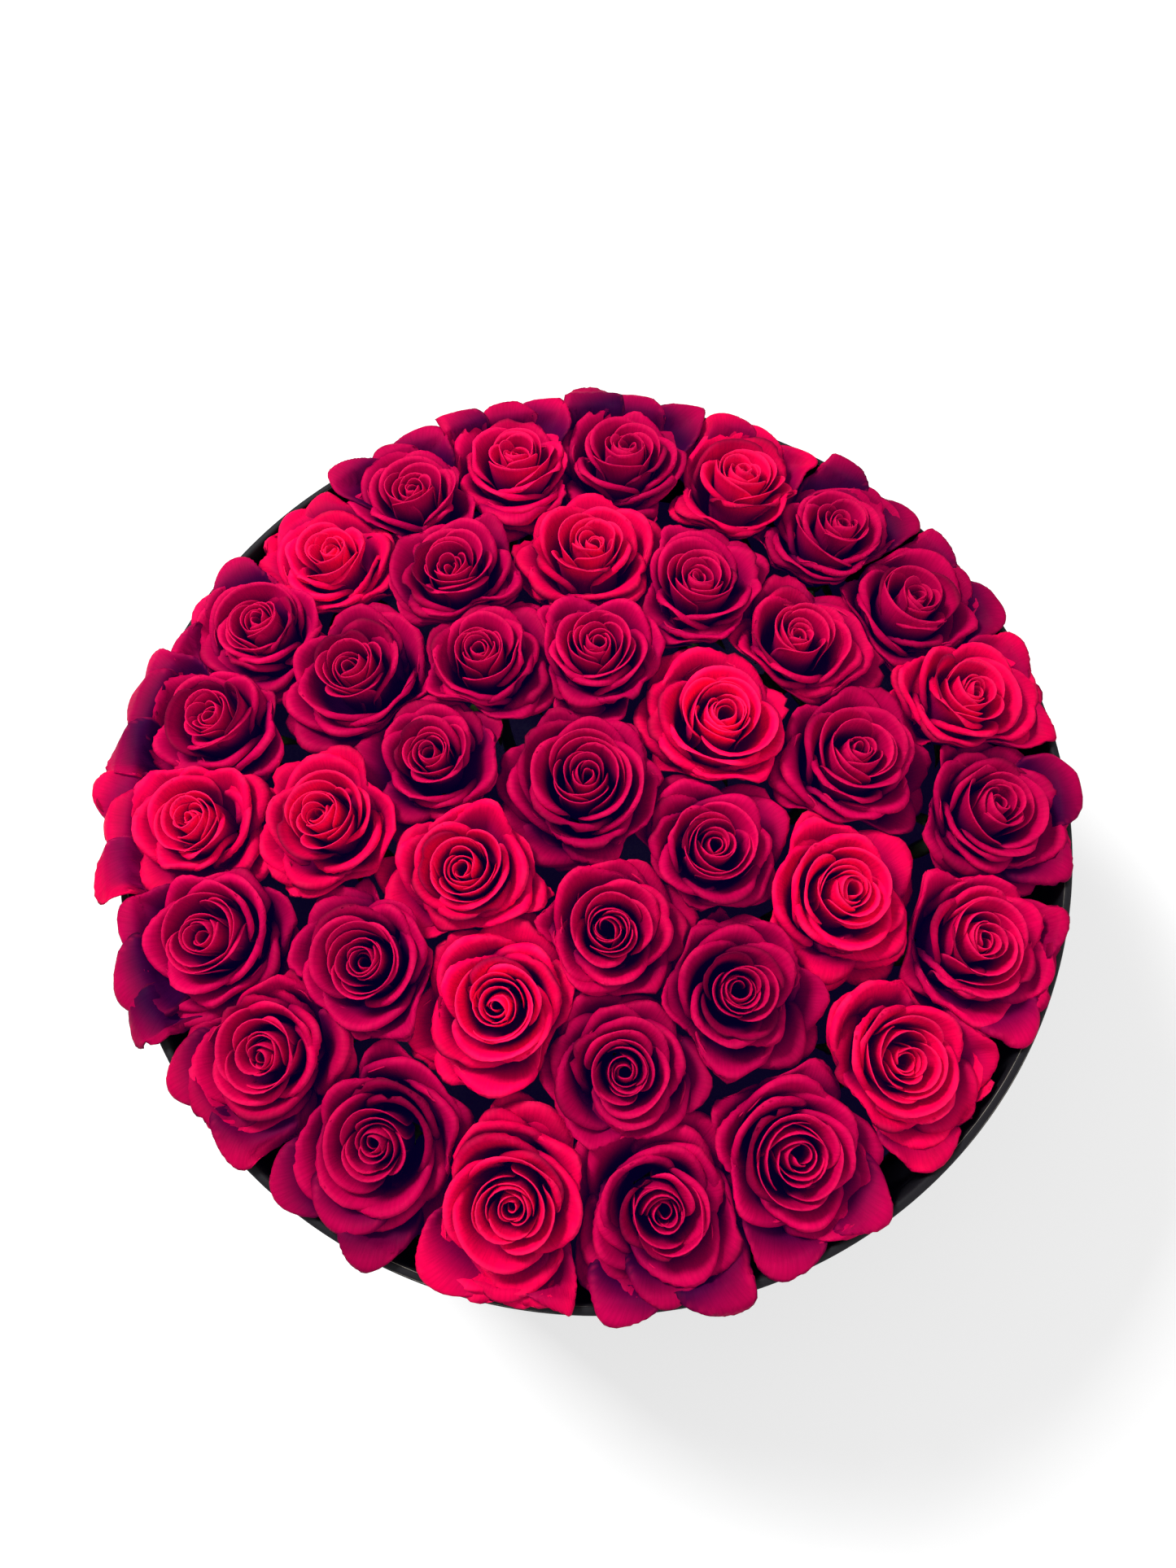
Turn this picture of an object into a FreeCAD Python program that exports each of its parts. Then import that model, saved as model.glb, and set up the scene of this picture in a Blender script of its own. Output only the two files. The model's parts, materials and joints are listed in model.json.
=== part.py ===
"""Round flower box: a paper-covered board box, a lift-out liner with foam, and roses planted in rings.

The origin is the centre of the underside, +Z is up and lengths are millimetres.
"""
import FreeCAD
import Part
import math
import os
from collections import namedtuple

# Box: a board tube with a board floor let into it, covered outside and lined inside with paper.
BOX_DIAMETER = 350.0
BOX_HEIGHT = 170.0
WALL_BOARD = 2.4
BASE_BOARD = 3.0
PAPER = 0.4
RIM_TURN_IN = 15.0
UNDER_TURN_IN = 12.0

# Liner: a watertight tray that stands loose in the box.
LINER_GAP = 1.5
LINER_LIP = 2.0
LINER_WALL = 1.0
LINER_HEIGHT = 95.0
LINER_CORNER = 3.0

# Foam: bricks laid in columns, trimmed to the round of the liner.
FOAM_GAP = 0.4
FOAM_HEIGHT = 110.0
FOAM_CHAMFER = 4.0
BRICK_WIDTH = 110.0

# Rose heads: the largest head, and the clear space kept round every head.
HEAD_DIAMETER = 53.0
HEAD_HEIGHT = 46.0
HEAD_GAP = 0.8
PETAL_THICKNESS = 1.2
PETAL_NOTCH = 0.9
WHORL_SINK = 0.6
GUARD_PETAL_REACH = 12.0

# Calyx and stem.
CALYX_RADIUS = 6.4
CALYX_HEIGHT = 9.0
CALYX_SWELL = 0.8
SEPAL_COUNT = 5
SEPAL_LENGTH = 15.0
SEPAL_WIDTH = 6.0
SEPAL_THICKNESS = 0.8
SEPAL_DROOP = 28.0
STEM_DIAMETER = 5.5
STEM_DEPTH = 45.0
STEM_CUT_ANGLE = 45.0
STEM_GAP = 0.3

# Planting: the tops of the heads lie on a shallow dome, and each stem stands square to it.
RIM_TO_HEADS = 15.0
DOME_RISE = 18.0
WALL_TO_HEADS = 0.8
WALL_TO_OUTER_RING = 24.8
OUTER_TO_MIDDLE = 51.0
MIDDLE_TO_INNER = 41.0
SPIN_STEP = 137.5

BOX_RADIUS = BOX_DIAMETER / 2
BOARD_OUTSIDE = BOX_RADIUS - PAPER
BOARD_INSIDE = BOARD_OUTSIDE - WALL_BOARD
BOX_INSIDE = BOARD_INSIDE - PAPER
BASE_TOP = PAPER + BASE_BOARD
FLOOR_TOP = BASE_TOP + PAPER
LINER_RADIUS = BOX_INSIDE - LINER_GAP - LINER_LIP
FOAM_RADIUS = LINER_RADIUS - LINER_WALL - FOAM_GAP
FOAM_BOTTOM = FLOOR_TOP + LINER_WALL
FOAM_TOP = FOAM_BOTTOM + FOAM_HEIGHT
STEM_END = FOAM_TOP - STEM_DEPTH
HEAD_RADIUS = HEAD_DIAMETER / 2
OUTER_RING = BOX_INSIDE - WALL_TO_OUTER_RING
MIDDLE_RING = OUTER_RING - OUTER_TO_MIDDLE
INNER_RING = MIDDLE_RING - MIDDLE_TO_INNER
HEADS_LEVEL = BOX_HEIGHT + RIM_TO_HEADS

# Each rose is a bearing in degrees and a nudge in millimetres away from the centre of its ring.
OUTER_ROSES = (
    (85, 0), (66, 0), (49, 0), (32, 0), (15, 0), (357, 0), (337, 0), (317, -4), (297, -2), (278, 0),
    (259, 0), (240, -2), (220, 0), (202, 0), (185, 0), (169, 0), (153, -1), (137, -5), (120, 0), (103, 0),
)
MIDDLE_ROSES = (
    (91, 0), (63, -6), (36, 0), (6, 0), (334, 0), (302, -6),
    (275, 7), (248, -9), (220, 7), (189, 1), (154, 5), (122, 8),
)
INNER_ROSES = ((132, 8), (89, -5), (27, -4), (326, -6), (276, 1), (217, 2), (173, 4))
CENTRE_ROSES = ((213, 5),)

Spot = namedtuple("Spot", "name x y bearing on_rim")
Whorl = namedtuple("Whorl", "lobes turn floor profile")
Rose = namedtuple("Rose", "spot scale foot axis stem_length")

# Whorls of petals from the outside in. A profile runs from foot to lip, as shares of the head's radius
# and height, and the floor is where the space inside the whorl ends, as a share of the height.
WHORLS = (
    Whorl(5, -36, 0.58, ((0.26, 0.0), (0.74, 0.36), (0.93, 0.83), (1.0, 0.92))),
    Whorl(5, 0, 0.68, ((0.62, 0.58), (0.74, 0.88), (0.82, 0.95))),
    Whorl(5, -18, 0.75, ((0.46, 0.68), (0.57, 0.91), (0.63, 0.97))),
    Whorl(4, 10, 0.81, ((0.31, 0.75), (0.41, 0.95), (0.46, 0.99))),
    Whorl(3, 40, 0.86, ((0.18, 0.81), (0.28, 0.96), (0.30, 1.0))),
)
BUD_PROFILE = ((0.13, 0.86), (0.15, 0.95), (0.07, 1.0))
BUD_LOBES = 3


def ring_spots(name, radius, roses, on_rim):
    """Planting spots of one ring, numbered from 1."""
    spots = []
    for number, (bearing, nudge) in enumerate(roses, 1):
        angle = math.radians(bearing)
        reach = radius + nudge
        spots.append(Spot(f"rose_{name}_{number:02d}", reach * math.cos(angle), reach * math.sin(angle), bearing, on_rim))
    return spots


def turned(points):
    """Solid of revolution about Z from a closed outline of (radius, height) corners."""
    corners = [FreeCAD.Vector(radius, 0, height) for radius, height in points]
    outline = Part.makePolygon(corners + corners[:1])
    return Part.Face(outline).revolve(FreeCAD.Vector(), FreeCAD.Vector(0, 0, 1), 360)


def tube(inside, outside, bottom, top):
    """Round tube about Z."""
    return turned(((inside, bottom), (outside, bottom), (outside, top), (inside, top)))


def disc(radius, bottom, top):
    """Round plate about Z."""
    return Part.makeCylinder(radius, top - bottom, FreeCAD.Vector(0, 0, bottom))


def outer_wrap():
    """Covering paper: outside of the wall, folded over the rim and under the base."""
    turn_in_bottom = BOX_HEIGHT - RIM_TURN_IN
    return turned((
        (BOX_RADIUS - UNDER_TURN_IN, 0),
        (BOX_RADIUS, 0),
        (BOX_RADIUS, BOX_HEIGHT),
        (BOX_INSIDE, BOX_HEIGHT),
        (BOX_INSIDE, turn_in_bottom),
        (BOARD_INSIDE, turn_in_bottom),
        (BOARD_INSIDE, BOX_HEIGHT - PAPER),
        (BOARD_OUTSIDE, BOX_HEIGHT - PAPER),
        (BOARD_OUTSIDE, PAPER),
        (BOX_RADIUS - UNDER_TURN_IN, PAPER),
    ))


def water_liner():
    """Tray with a bevelled bottom corner and an outward lip."""
    top = FLOOR_TOP + LINER_HEIGHT
    inside = LINER_RADIUS - LINER_WALL
    lip = LINER_RADIUS + LINER_LIP
    return turned((
        (0, FLOOR_TOP),
        (LINER_RADIUS - LINER_CORNER, FLOOR_TOP),
        (LINER_RADIUS, FLOOR_TOP + LINER_CORNER),
        (LINER_RADIUS, top - LINER_WALL),
        (lip, top - LINER_WALL),
        (lip, top),
        (inside, top),
        (inside, FOAM_BOTTOM + LINER_CORNER),
        (inside - LINER_CORNER, FOAM_BOTTOM),
        (0, FOAM_BOTTOM),
    ))


def foam_blocks(roses):
    """Foam bricks by name: a chamfered disc parted into two rows of three, with a hole for every stem."""
    round_foam = turned((
        (0, FOAM_BOTTOM),
        (FOAM_RADIUS - FOAM_CHAMFER, FOAM_BOTTOM),
        (FOAM_RADIUS, FOAM_BOTTOM + FOAM_CHAMFER),
        (FOAM_RADIUS, FOAM_TOP),
        (0, FOAM_TOP),
    ))
    holes = Part.makeCompound([stem_hole(rose) for rose in roses])
    drilled = round_foam.cut(holes)
    columns = {
        "left": (-FOAM_RADIUS, -BRICK_WIDTH / 2),
        "middle": (-BRICK_WIDTH / 2, BRICK_WIDTH / 2),
        "right": (BRICK_WIDTH / 2, FOAM_RADIUS),
    }
    rows = {"front": (-FOAM_RADIUS, 0), "back": (0, FOAM_RADIUS)}
    blocks = {}
    for column, (left, right) in columns.items():
        for row, (near, far) in rows.items():
            corner = FreeCAD.Vector(left, near, FOAM_BOTTOM)
            brick = Part.makeBox(right - left, far - near, FOAM_HEIGHT, corner)
            blocks[f"foam_{row}_{column}"] = drilled.common(brick)
    return blocks


def stem_hole(rose):
    """Round hole that a stem stands in, from its cut end to above the foam."""
    depth = rose.stem_length + STEM_GAP
    start = rose.foot - rose.axis * (CALYX_HEIGHT + depth)
    return Part.makeCylinder(STEM_DIAMETER / 2 + STEM_GAP, depth, start, rose.axis)


def lobed_wire(radius, height, lobes, turn, reach):
    """Closed outline of petal arcs that meet in notches. Reach draws out the lobes that face +X."""

    def corner(share, bearing):
        angle = math.radians(bearing)
        length = share * radius + reach * max(0.0, math.cos(angle)) ** 3
        return FreeCAD.Vector(length * math.cos(angle), length * math.sin(angle), height)

    step = 360 / lobes
    edges = []
    for lobe in range(lobes):
        start = turn + lobe * step
        notch = corner(PETAL_NOTCH, start)
        peak = corner(1.0, start + step / 2)
        next_notch = corner(PETAL_NOTCH, start + step)
        edges.append(Part.Arc(notch, peak, next_notch).toShape())
    return Part.Wire(edges)


def lobed_solid(profile, lobes, turn, lip_reach):
    """Solid through lobed outlines at the (radius, height) points of a profile, drawn out at its lip."""
    reaches = [0.0] * len(profile)
    reaches[-1] = lip_reach
    wires = [lobed_wire(radius, height, lobes, turn, reach) for (radius, height), reach in zip(profile, reaches)]
    return Part.makeLoft(wires, True, True)


def radius_at(profile, height):
    """Radius of a profile at a height, on the straight line between its points."""
    for (low_radius, low), (high_radius, high) in zip(profile, profile[1:]):
        if low <= height <= high:
            return low_radius + (high_radius - low_radius) * (height - low) / (high - low)
    return profile[-1][0]


def petal_cup(whorl, lip_reach):
    """One whorl of petals: an open lobed cup with a closed foot."""
    profile = [(share * HEAD_RADIUS, rise * HEAD_HEIGHT) for share, rise in whorl.profile]
    profile[0] = (profile[0][0], max(0.0, profile[0][1] - WHORL_SINK))
    floor = whorl.floor * HEAD_HEIGHT
    inside = [(radius_at(profile, floor) - PETAL_THICKNESS, floor)]
    inside += [(radius - PETAL_THICKNESS, height) for radius, height in profile if height > floor]
    cup = lobed_solid(profile, whorl.lobes, whorl.turn, lip_reach)
    return cup.cut(lobed_solid(inside, whorl.lobes, whorl.turn, lip_reach))


def rose_head(lip_reach):
    """Full-size head on its foot at the origin: nested whorls round a bud."""
    outermost = petal_cup(WHORLS[0], lip_reach)
    inner_cups = [petal_cup(whorl, 0.0) for whorl in WHORLS[1:]]
    bud = [(share * HEAD_RADIUS, rise * HEAD_HEIGHT) for share, rise in BUD_PROFILE]
    bud[0] = (bud[0][0], bud[0][1] - WHORL_SINK)
    return outermost.multiFuse(inner_cups + [lobed_solid(bud, BUD_LOBES, 0, 0.0)])


def calyx():
    """Swollen hip under the head with its drooping sepals, its flat top at the origin."""
    stem_radius = STEM_DIAMETER / 2
    shoulder = FreeCAD.Vector(CALYX_RADIUS, 0, 0)
    neck = FreeCAD.Vector(stem_radius, 0, -CALYX_HEIGHT)
    middle_radius = (CALYX_RADIUS + stem_radius) / 2 + CALYX_SWELL
    belly = FreeCAD.Vector(middle_radius, 0, -CALYX_HEIGHT / 2)
    top = FreeCAD.Vector()
    bottom = FreeCAD.Vector(0, 0, -CALYX_HEIGHT)
    outline = Part.Wire([
        Part.makeLine(top, shoulder),
        Part.Arc(shoulder, belly, neck).toShape(),
        Part.makeLine(neck, bottom),
        Part.makeLine(bottom, top),
    ])
    hip = Part.Face(outline).revolve(top, FreeCAD.Vector(0, 0, 1), 360)
    sepals = []
    for number in range(SEPAL_COUNT):
        leaf = sepal()
        leaf.rotate(FreeCAD.Vector(), FreeCAD.Vector(0, 0, 1), number * 360 / SEPAL_COUNT)
        sepals.append(leaf)
    return hip.multiFuse(sepals)


def sepal():
    """Pointed leaf from inside the hip outwards, drooping."""
    root = CALYX_RADIUS / 2
    tip = FreeCAD.Vector(CALYX_RADIUS + SEPAL_LENGTH, 0, 0)
    swell = (root + tip.x) / 2
    left = FreeCAD.Vector(root, SEPAL_WIDTH / 4, 0)
    right = FreeCAD.Vector(root, -SEPAL_WIDTH / 4, 0)
    outline = Part.Wire([
        Part.Arc(right, FreeCAD.Vector(swell, -SEPAL_WIDTH / 2, 0), tip).toShape(),
        Part.Arc(tip, FreeCAD.Vector(swell, SEPAL_WIDTH / 2, 0), left).toShape(),
        Part.makeLine(left, right),
    ])
    leaf = Part.Face(outline).extrude(FreeCAD.Vector(0, 0, -SEPAL_THICKNESS))
    hinge = FreeCAD.Vector(root, 0, 0)
    leaf.rotate(hinge, FreeCAD.Vector(0, 1, 0), SEPAL_DROOP)
    leaf.translate(FreeCAD.Vector(0, 0, -SEPAL_THICKNESS))
    return leaf


def head_radii(spots):
    """Radius of every head: half the way to the nearest neighbour, then grown into the room that is left."""

    def room(spot, other):
        return math.hypot(spot.x - other.x, spot.y - other.y) - HEAD_GAP

    radii = {spot: min(room(spot, other) for other in spots if other is not spot) / 2 for spot in spots}
    shoulder_share = WHORLS[0].profile[-2][0]
    for spot in spots:
        to_neighbour = min(room(spot, other) - radii[other] for other in spots if other is not spot)
        to_wall = (BOX_INSIDE - WALL_TO_HEADS - math.hypot(spot.x, spot.y)) / shoulder_share
        radii[spot] = min(HEAD_RADIUS, to_neighbour, to_wall)
    return radii


def plan_roses(spots):
    """Size, place and stem length of every rose."""
    radii = head_radii(spots)
    roses = []
    for spot in spots:
        scale = radii[spot] / HEAD_RADIUS
        share = math.hypot(spot.x, spot.y) / OUTER_RING
        top = FreeCAD.Vector(spot.x, spot.y, HEADS_LEVEL + DOME_RISE * (1 - share ** 2))
        slope = 2 * DOME_RISE / OUTER_RING ** 2
        axis = FreeCAD.Vector(slope * spot.x, slope * spot.y, 1).normalize()
        foot = top - axis * (scale * HEAD_HEIGHT)
        stem_length = (foot.z - STEM_END) / axis.z - CALYX_HEIGHT
        roses.append(Rose(spot, scale, foot, axis, stem_length))
    return roses


def stem(length):
    """Stem hanging from the underside of the calyx, cut on a slant."""
    low = -CALYX_HEIGHT - length
    radius = STEM_DIAMETER / 2
    slope_rise = STEM_DIAMETER * math.tan(math.radians(STEM_CUT_ANGLE))
    rod = Part.makeCylinder(radius, length, FreeCAD.Vector(0, 0, low))
    wedge = Part.makePolygon([
        FreeCAD.Vector(-radius, -STEM_DIAMETER, low),
        FreeCAD.Vector(radius, -STEM_DIAMETER, low + slope_rise),
        FreeCAD.Vector(radius, -STEM_DIAMETER, low - STEM_DIAMETER),
        FreeCAD.Vector(-radius, -STEM_DIAMETER, low - STEM_DIAMETER),
        FreeCAD.Vector(-radius, -STEM_DIAMETER, low),
    ])
    return rod.cut(Part.Face(wedge).extrude(FreeCAD.Vector(0, 2 * STEM_DIAMETER, 0)))


def planted(shape, rose, spin):
    """Copy of an upright shape spun about its own axis, leaned along the rose's axis and set on its foot."""
    copy = shape.copy()
    lean = FreeCAD.Rotation(FreeCAD.Vector(0, 0, 1), rose.axis)
    turn = FreeCAD.Rotation(FreeCAD.Vector(0, 0, 1), spin)
    copy.Placement = FreeCAD.Placement(rose.foot, lean.multiply(turn))
    return copy


def rose_parts(roses):
    """Every rose by name: head, calyx and stem stacked face to face."""
    rim_head = rose_head(GUARD_PETAL_REACH)
    plain_head = rose_head(0.0)
    hip = calyx()
    parts = {}
    for number, rose in enumerate(roses):
        spin = rose.spot.bearing if rose.spot.on_rim else number * SPIN_STEP
        head = (rim_head if rose.spot.on_rim else plain_head).copy()
        head.scale(rose.scale)
        solids = [head, hip, stem(rose.stem_length)]
        parts[rose.spot.name] = Part.makeCompound([planted(solid, rose, spin) for solid in solids])
    return parts


def box_parts():
    """Pieces of the box and its liner by name."""
    return {
        "box_wall": tube(BOARD_INSIDE, BOARD_OUTSIDE, PAPER, BOX_HEIGHT - PAPER),
        "box_base": disc(BOARD_INSIDE, PAPER, BASE_TOP),
        "outer_wrap": outer_wrap(),
        "wall_lining": tube(BOX_INSIDE, BOARD_INSIDE, BASE_TOP, BOX_HEIGHT - RIM_TURN_IN),
        "floor_lining": disc(BOX_INSIDE, BASE_TOP, FLOOR_TOP),
        "base_paper": disc(BOX_RADIUS - UNDER_TURN_IN, 0, PAPER),
        "water_liner": water_liner(),
    }


def main():
    """Build every piece and write it to its own file."""
    spots = ring_spots("outer", OUTER_RING, OUTER_ROSES, True)
    spots += ring_spots("middle", MIDDLE_RING, MIDDLE_ROSES, False)
    spots += ring_spots("inner", INNER_RING, INNER_ROSES, False)
    spots += ring_spots("centre", 0.0, CENTRE_ROSES, False)
    roses = plan_roses(spots)
    parts = box_parts()
    parts.update(foam_blocks(roses))
    parts.update(rose_parts(roses))
    os.makedirs("parts", exist_ok=True)
    for name, shape in parts.items():
        shape.exportStep(f"parts/{name}.step")


main()
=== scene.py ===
"""Dresses the round flower box: its roses, the paper-covered box, the lift-out insert and a studio."""
import json
import logging
import math
from dataclasses import dataclass, field
from enum import Enum

import bpy
import numpy as np
from mathutils import Matrix, Vector

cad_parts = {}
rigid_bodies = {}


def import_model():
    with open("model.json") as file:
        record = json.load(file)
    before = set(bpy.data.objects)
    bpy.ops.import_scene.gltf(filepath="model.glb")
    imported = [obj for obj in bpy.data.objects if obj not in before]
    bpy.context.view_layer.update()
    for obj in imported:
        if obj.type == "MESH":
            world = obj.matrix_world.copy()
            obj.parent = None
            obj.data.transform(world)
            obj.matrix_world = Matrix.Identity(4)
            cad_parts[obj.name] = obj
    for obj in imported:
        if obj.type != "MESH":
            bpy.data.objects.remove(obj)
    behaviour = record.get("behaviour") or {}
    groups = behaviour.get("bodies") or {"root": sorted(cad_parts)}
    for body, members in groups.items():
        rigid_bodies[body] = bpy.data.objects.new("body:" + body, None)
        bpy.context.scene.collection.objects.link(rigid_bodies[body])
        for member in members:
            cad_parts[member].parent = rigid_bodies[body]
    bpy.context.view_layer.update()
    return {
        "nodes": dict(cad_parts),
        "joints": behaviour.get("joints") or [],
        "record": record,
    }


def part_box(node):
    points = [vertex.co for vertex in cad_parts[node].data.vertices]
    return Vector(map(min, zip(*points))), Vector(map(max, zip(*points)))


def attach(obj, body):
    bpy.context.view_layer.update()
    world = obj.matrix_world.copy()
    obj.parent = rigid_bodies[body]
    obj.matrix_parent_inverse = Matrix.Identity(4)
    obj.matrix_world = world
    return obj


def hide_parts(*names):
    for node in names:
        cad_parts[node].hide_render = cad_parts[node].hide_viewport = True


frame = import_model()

LOG = logging.getLogger("flower_box")
MM = 0.001
TINY = 1e-12
FULL_TURN = 2 * math.pi


def linear(code: str) -> tuple[float, float, float, float]:
    """Turn an sRGB hex colour into linear RGBA.

    Args:
        code: Colour as "#rrggbb".

    Returns:
        Linear red, green, blue and an alpha of 1.
    """
    parts = [int(code[i:i + 2], 16) / 255 for i in (1, 3, 5)]
    red, green, blue = (c / 12.92 if c <= 0.04045 else ((c + 0.055) / 1.055) ** 2.4 for c in parts)
    return red, green, blue, 1.0


def unit(vectors: np.ndarray) -> np.ndarray:
    """Vectors of length one with the directions of the given ones."""
    return vectors / np.maximum(np.linalg.norm(vectors, axis=-1, keepdims=True), TINY)


def add_node(tree: bpy.types.NodeTree, kind: str, links: dict | None = None, **settings) -> bpy.types.Node:
    """Add one node to a tree.

    Args:
        tree: Tree that takes the node.
        kind: Node type, such as "ShaderNodeBump".
        links: Input name or number to what feeds it: a socket, a node (by its first output) or a value.
        settings: Properties set on the node itself, before its inputs.

    Returns:
        The new node.
    """
    node = tree.nodes.new(kind)
    for name, value in settings.items():
        setattr(node, name, value)
    for name, source in (links or {}).items():
        if isinstance(source, bpy.types.Node):
            source = source.outputs[0]
        if isinstance(source, bpy.types.NodeSocket):
            tree.links.new(source, node.inputs[name])
        else:
            node.inputs[name].default_value = source
    return node


def new_material(name: str) -> tuple[bpy.types.Material, bpy.types.NodeTree]:
    """Make a material without nodes.

    Args:
        name: Name of the real material.

    Returns:
        The material and its empty tree.
    """
    material = bpy.data.materials.new(name)
    material.use_nodes = True
    material.node_tree.nodes.clear()
    return material, material.node_tree


def mesh_object(name: str, points: np.ndarray, faces: np.ndarray, smooth: bool = True) -> bpy.types.Object:
    """Make a mesh object at the origin from quads.

    Args:
        name: Name of the piece.
        points: Corner positions in metres, one row each.
        faces: Corner numbers of the quads, four to a row.
        smooth: Whether the faces are shaded smooth.

    Returns:
        The linked object.
    """
    mesh = bpy.data.meshes.new(name)
    mesh.vertices.add(len(points))
    mesh.vertices.foreach_set("co", points.astype(np.float32).ravel())
    mesh.loops.add(faces.size)
    mesh.loops.foreach_set("vertex_index", faces.astype(np.int32).ravel())
    mesh.polygons.add(len(faces))
    mesh.polygons.foreach_set("loop_start", np.arange(0, faces.size, faces.shape[1], dtype=np.int32))
    mesh.polygons.foreach_set("use_smooth", np.full(len(faces), smooth))
    mesh.update(calc_edges=True)
    mesh.validate()
    piece = bpy.data.objects.new(name, mesh)
    bpy.context.scene.collection.objects.link(piece)
    return piece


def set_attribute(piece: bpy.types.Object, name: str, values: np.ndarray) -> None:
    """Store one number per corner point under a name that a material can read."""
    attribute = piece.data.attributes.new(name, "FLOAT", "POINT")
    attribute.data.foreach_set("value", values.astype(np.float32).ravel())


def assign(piece: bpy.types.Object, material: bpy.types.Material) -> None:
    """Put one material on the whole piece."""
    piece.data.materials.clear()
    piece.data.materials.append(material)


class Shade(Enum):
    """Named shades of red, by the record's material slot."""

    SCARLET = "petals_scarlet"
    RED = "petals_red"
    CRIMSON = "petals_crimson"


@dataclass(frozen=True)
class PetalFinish:
    """Living rose petal: matte like velvet, with fine veins, a painted highlight along its thin rim and the
    crest of its fold, and painted shade towards its base.

    The small dome-shaped cells of the skin scatter light, so that it has hardly any gloss. The faint glow
    is painted light: the petal glows a little, though it is no lamp, to paint a violet cast into the
    darkest folds.
    """

    name: str
    face: str
    # Colour of the painted shade that darkens each petal towards its base, where it goes under the next
    # petal.
    painted_base_shade: str
    # Colour of the painted highlight along the thin rim and the crest of the fold.
    rim: str
    # Real veins stand closer. They are drawn coarser, so that they show.
    vein_spacing: float = 0.9 * MM
    vein_stretch: tuple[float, float, float] = (1.0, 0.08, 1.0)
    vein_detail: float = 2.0
    vein_waver: float = 0.4
    vein_noise: tuple[float, float] = (0.3, 0.7)
    vein_value: tuple[float, float] = (0.88, 1.07)
    vein_depth: float = 0.25 * MM
    vein_strength: float = 0.55
    blotch_size: float = 9 * MM
    blotch_detail: float = 3.0
    blotch_noise: tuple[float, float] = (0.25, 0.75)
    blotch_value: tuple[float, float] = (0.84, 1.1)
    # Share of the way from tip to base at which the painted shade is full.
    painted_base_shade_from: float = 0.42
    painted_rim_highlight: float = 0.4
    roughness: float = 0.62
    ior: float = 1.4
    specular: float = 0.03
    sheen: float = 0.03
    sheen_roughness: float = 0.45
    # Painted light: a faint violet glow, though the petal is no lamp, that tints the shade in its folds.
    glow: str = "#1a0090"
    painted_glow_strength: float = 0.05

    def material(self) -> bpy.types.Material:
        """Build the petal material.

        Returns:
            The material, which reads the attributes edge, depth and tone and the petal's own UV map.
        """
        material, tree = new_material(self.name)
        # edge carries the painted highlight on rim and crest, depth the painted shade towards the base.
        edge, depth, tone = (
            add_node(tree, "ShaderNodeAttribute", attribute_name=name).outputs["Fac"]
            for name in ("edge", "depth", "tone"))
        place = add_node(tree, "ShaderNodeTexCoord").outputs
        blotch = add_node(tree, "ShaderNodeTexNoise", {
            "Vector": place["Object"], "Scale": 1 / self.blotch_size, "Detail": self.blotch_detail})
        vein = add_node(tree, "ShaderNodeMapping", {"Vector": place["UV"], "Scale": self.vein_stretch})
        vein = add_node(tree, "ShaderNodeTexNoise", {
            "Vector": vein, "Scale": MM / self.vein_spacing,
            "Detail": self.vein_detail, "Distortion": self.vein_waver})
        # Painted shade: the colour darkens towards the petal's base, in the folds where shade falls.
        painted_base_shade_mix = add_node(tree, "ShaderNodeMapRange", {
            "Value": depth, "From Min": 0.0, "From Max": self.painted_base_shade_from}, interpolation_type="SMOOTHSTEP")
        base = add_node(tree, "ShaderNodeMix", {
            "Factor": painted_base_shade_mix, "A": linear(self.face), "B": linear(self.painted_base_shade)}, data_type="RGBA")
        # Painted highlight: lighter along the rim and along the crest where the petal rolls over.
        rim_highlight_share = add_node(tree, "ShaderNodeMath", {0: edge, 1: self.painted_rim_highlight}, operation="MULTIPLY")
        highlighted = add_node(tree, "ShaderNodeMix", {
            "Factor": rim_highlight_share, "A": base.outputs["Result"], "B": linear(self.rim)}, data_type="RGBA")
        tinted = add_node(tree, "ShaderNodeMapRange", {
            "Value": blotch, "From Min": self.blotch_noise[0], "From Max": self.blotch_noise[1],
            "To Min": self.blotch_value[0], "To Max": self.blotch_value[1]})
        veined = add_node(tree, "ShaderNodeMapRange", {
            "Value": vein, "From Min": self.vein_noise[0], "From Max": self.vein_noise[1],
            "To Min": self.vein_value[0], "To Max": self.vein_value[1]})
        value = add_node(tree, "ShaderNodeMath", {0: tinted, 1: veined}, operation="MULTIPLY")
        value = add_node(tree, "ShaderNodeMath", {0: value, 1: tone}, operation="MULTIPLY")
        colour = add_node(tree, "ShaderNodeHueSaturation", {
            "Color": highlighted.outputs["Result"], "Value": value})
        bump = add_node(tree, "ShaderNodeBump", {
            "Height": vein, "Strength": self.vein_strength, "Distance": self.vein_depth})
        shader = add_node(tree, "ShaderNodeBsdfPrincipled", {
            "Base Color": colour, "Normal": bump, "Roughness": self.roughness, "IOR": self.ior,
            "Specular IOR Level": self.specular, "Sheen Weight": self.sheen,
            "Sheen Roughness": self.sheen_roughness, "Sheen Tint": linear(self.face),
            "Emission Color": linear(self.glow), "Emission Strength": self.painted_glow_strength})
        add_node(tree, "ShaderNodeOutputMaterial", {"Surface": shader})
        return material


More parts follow.
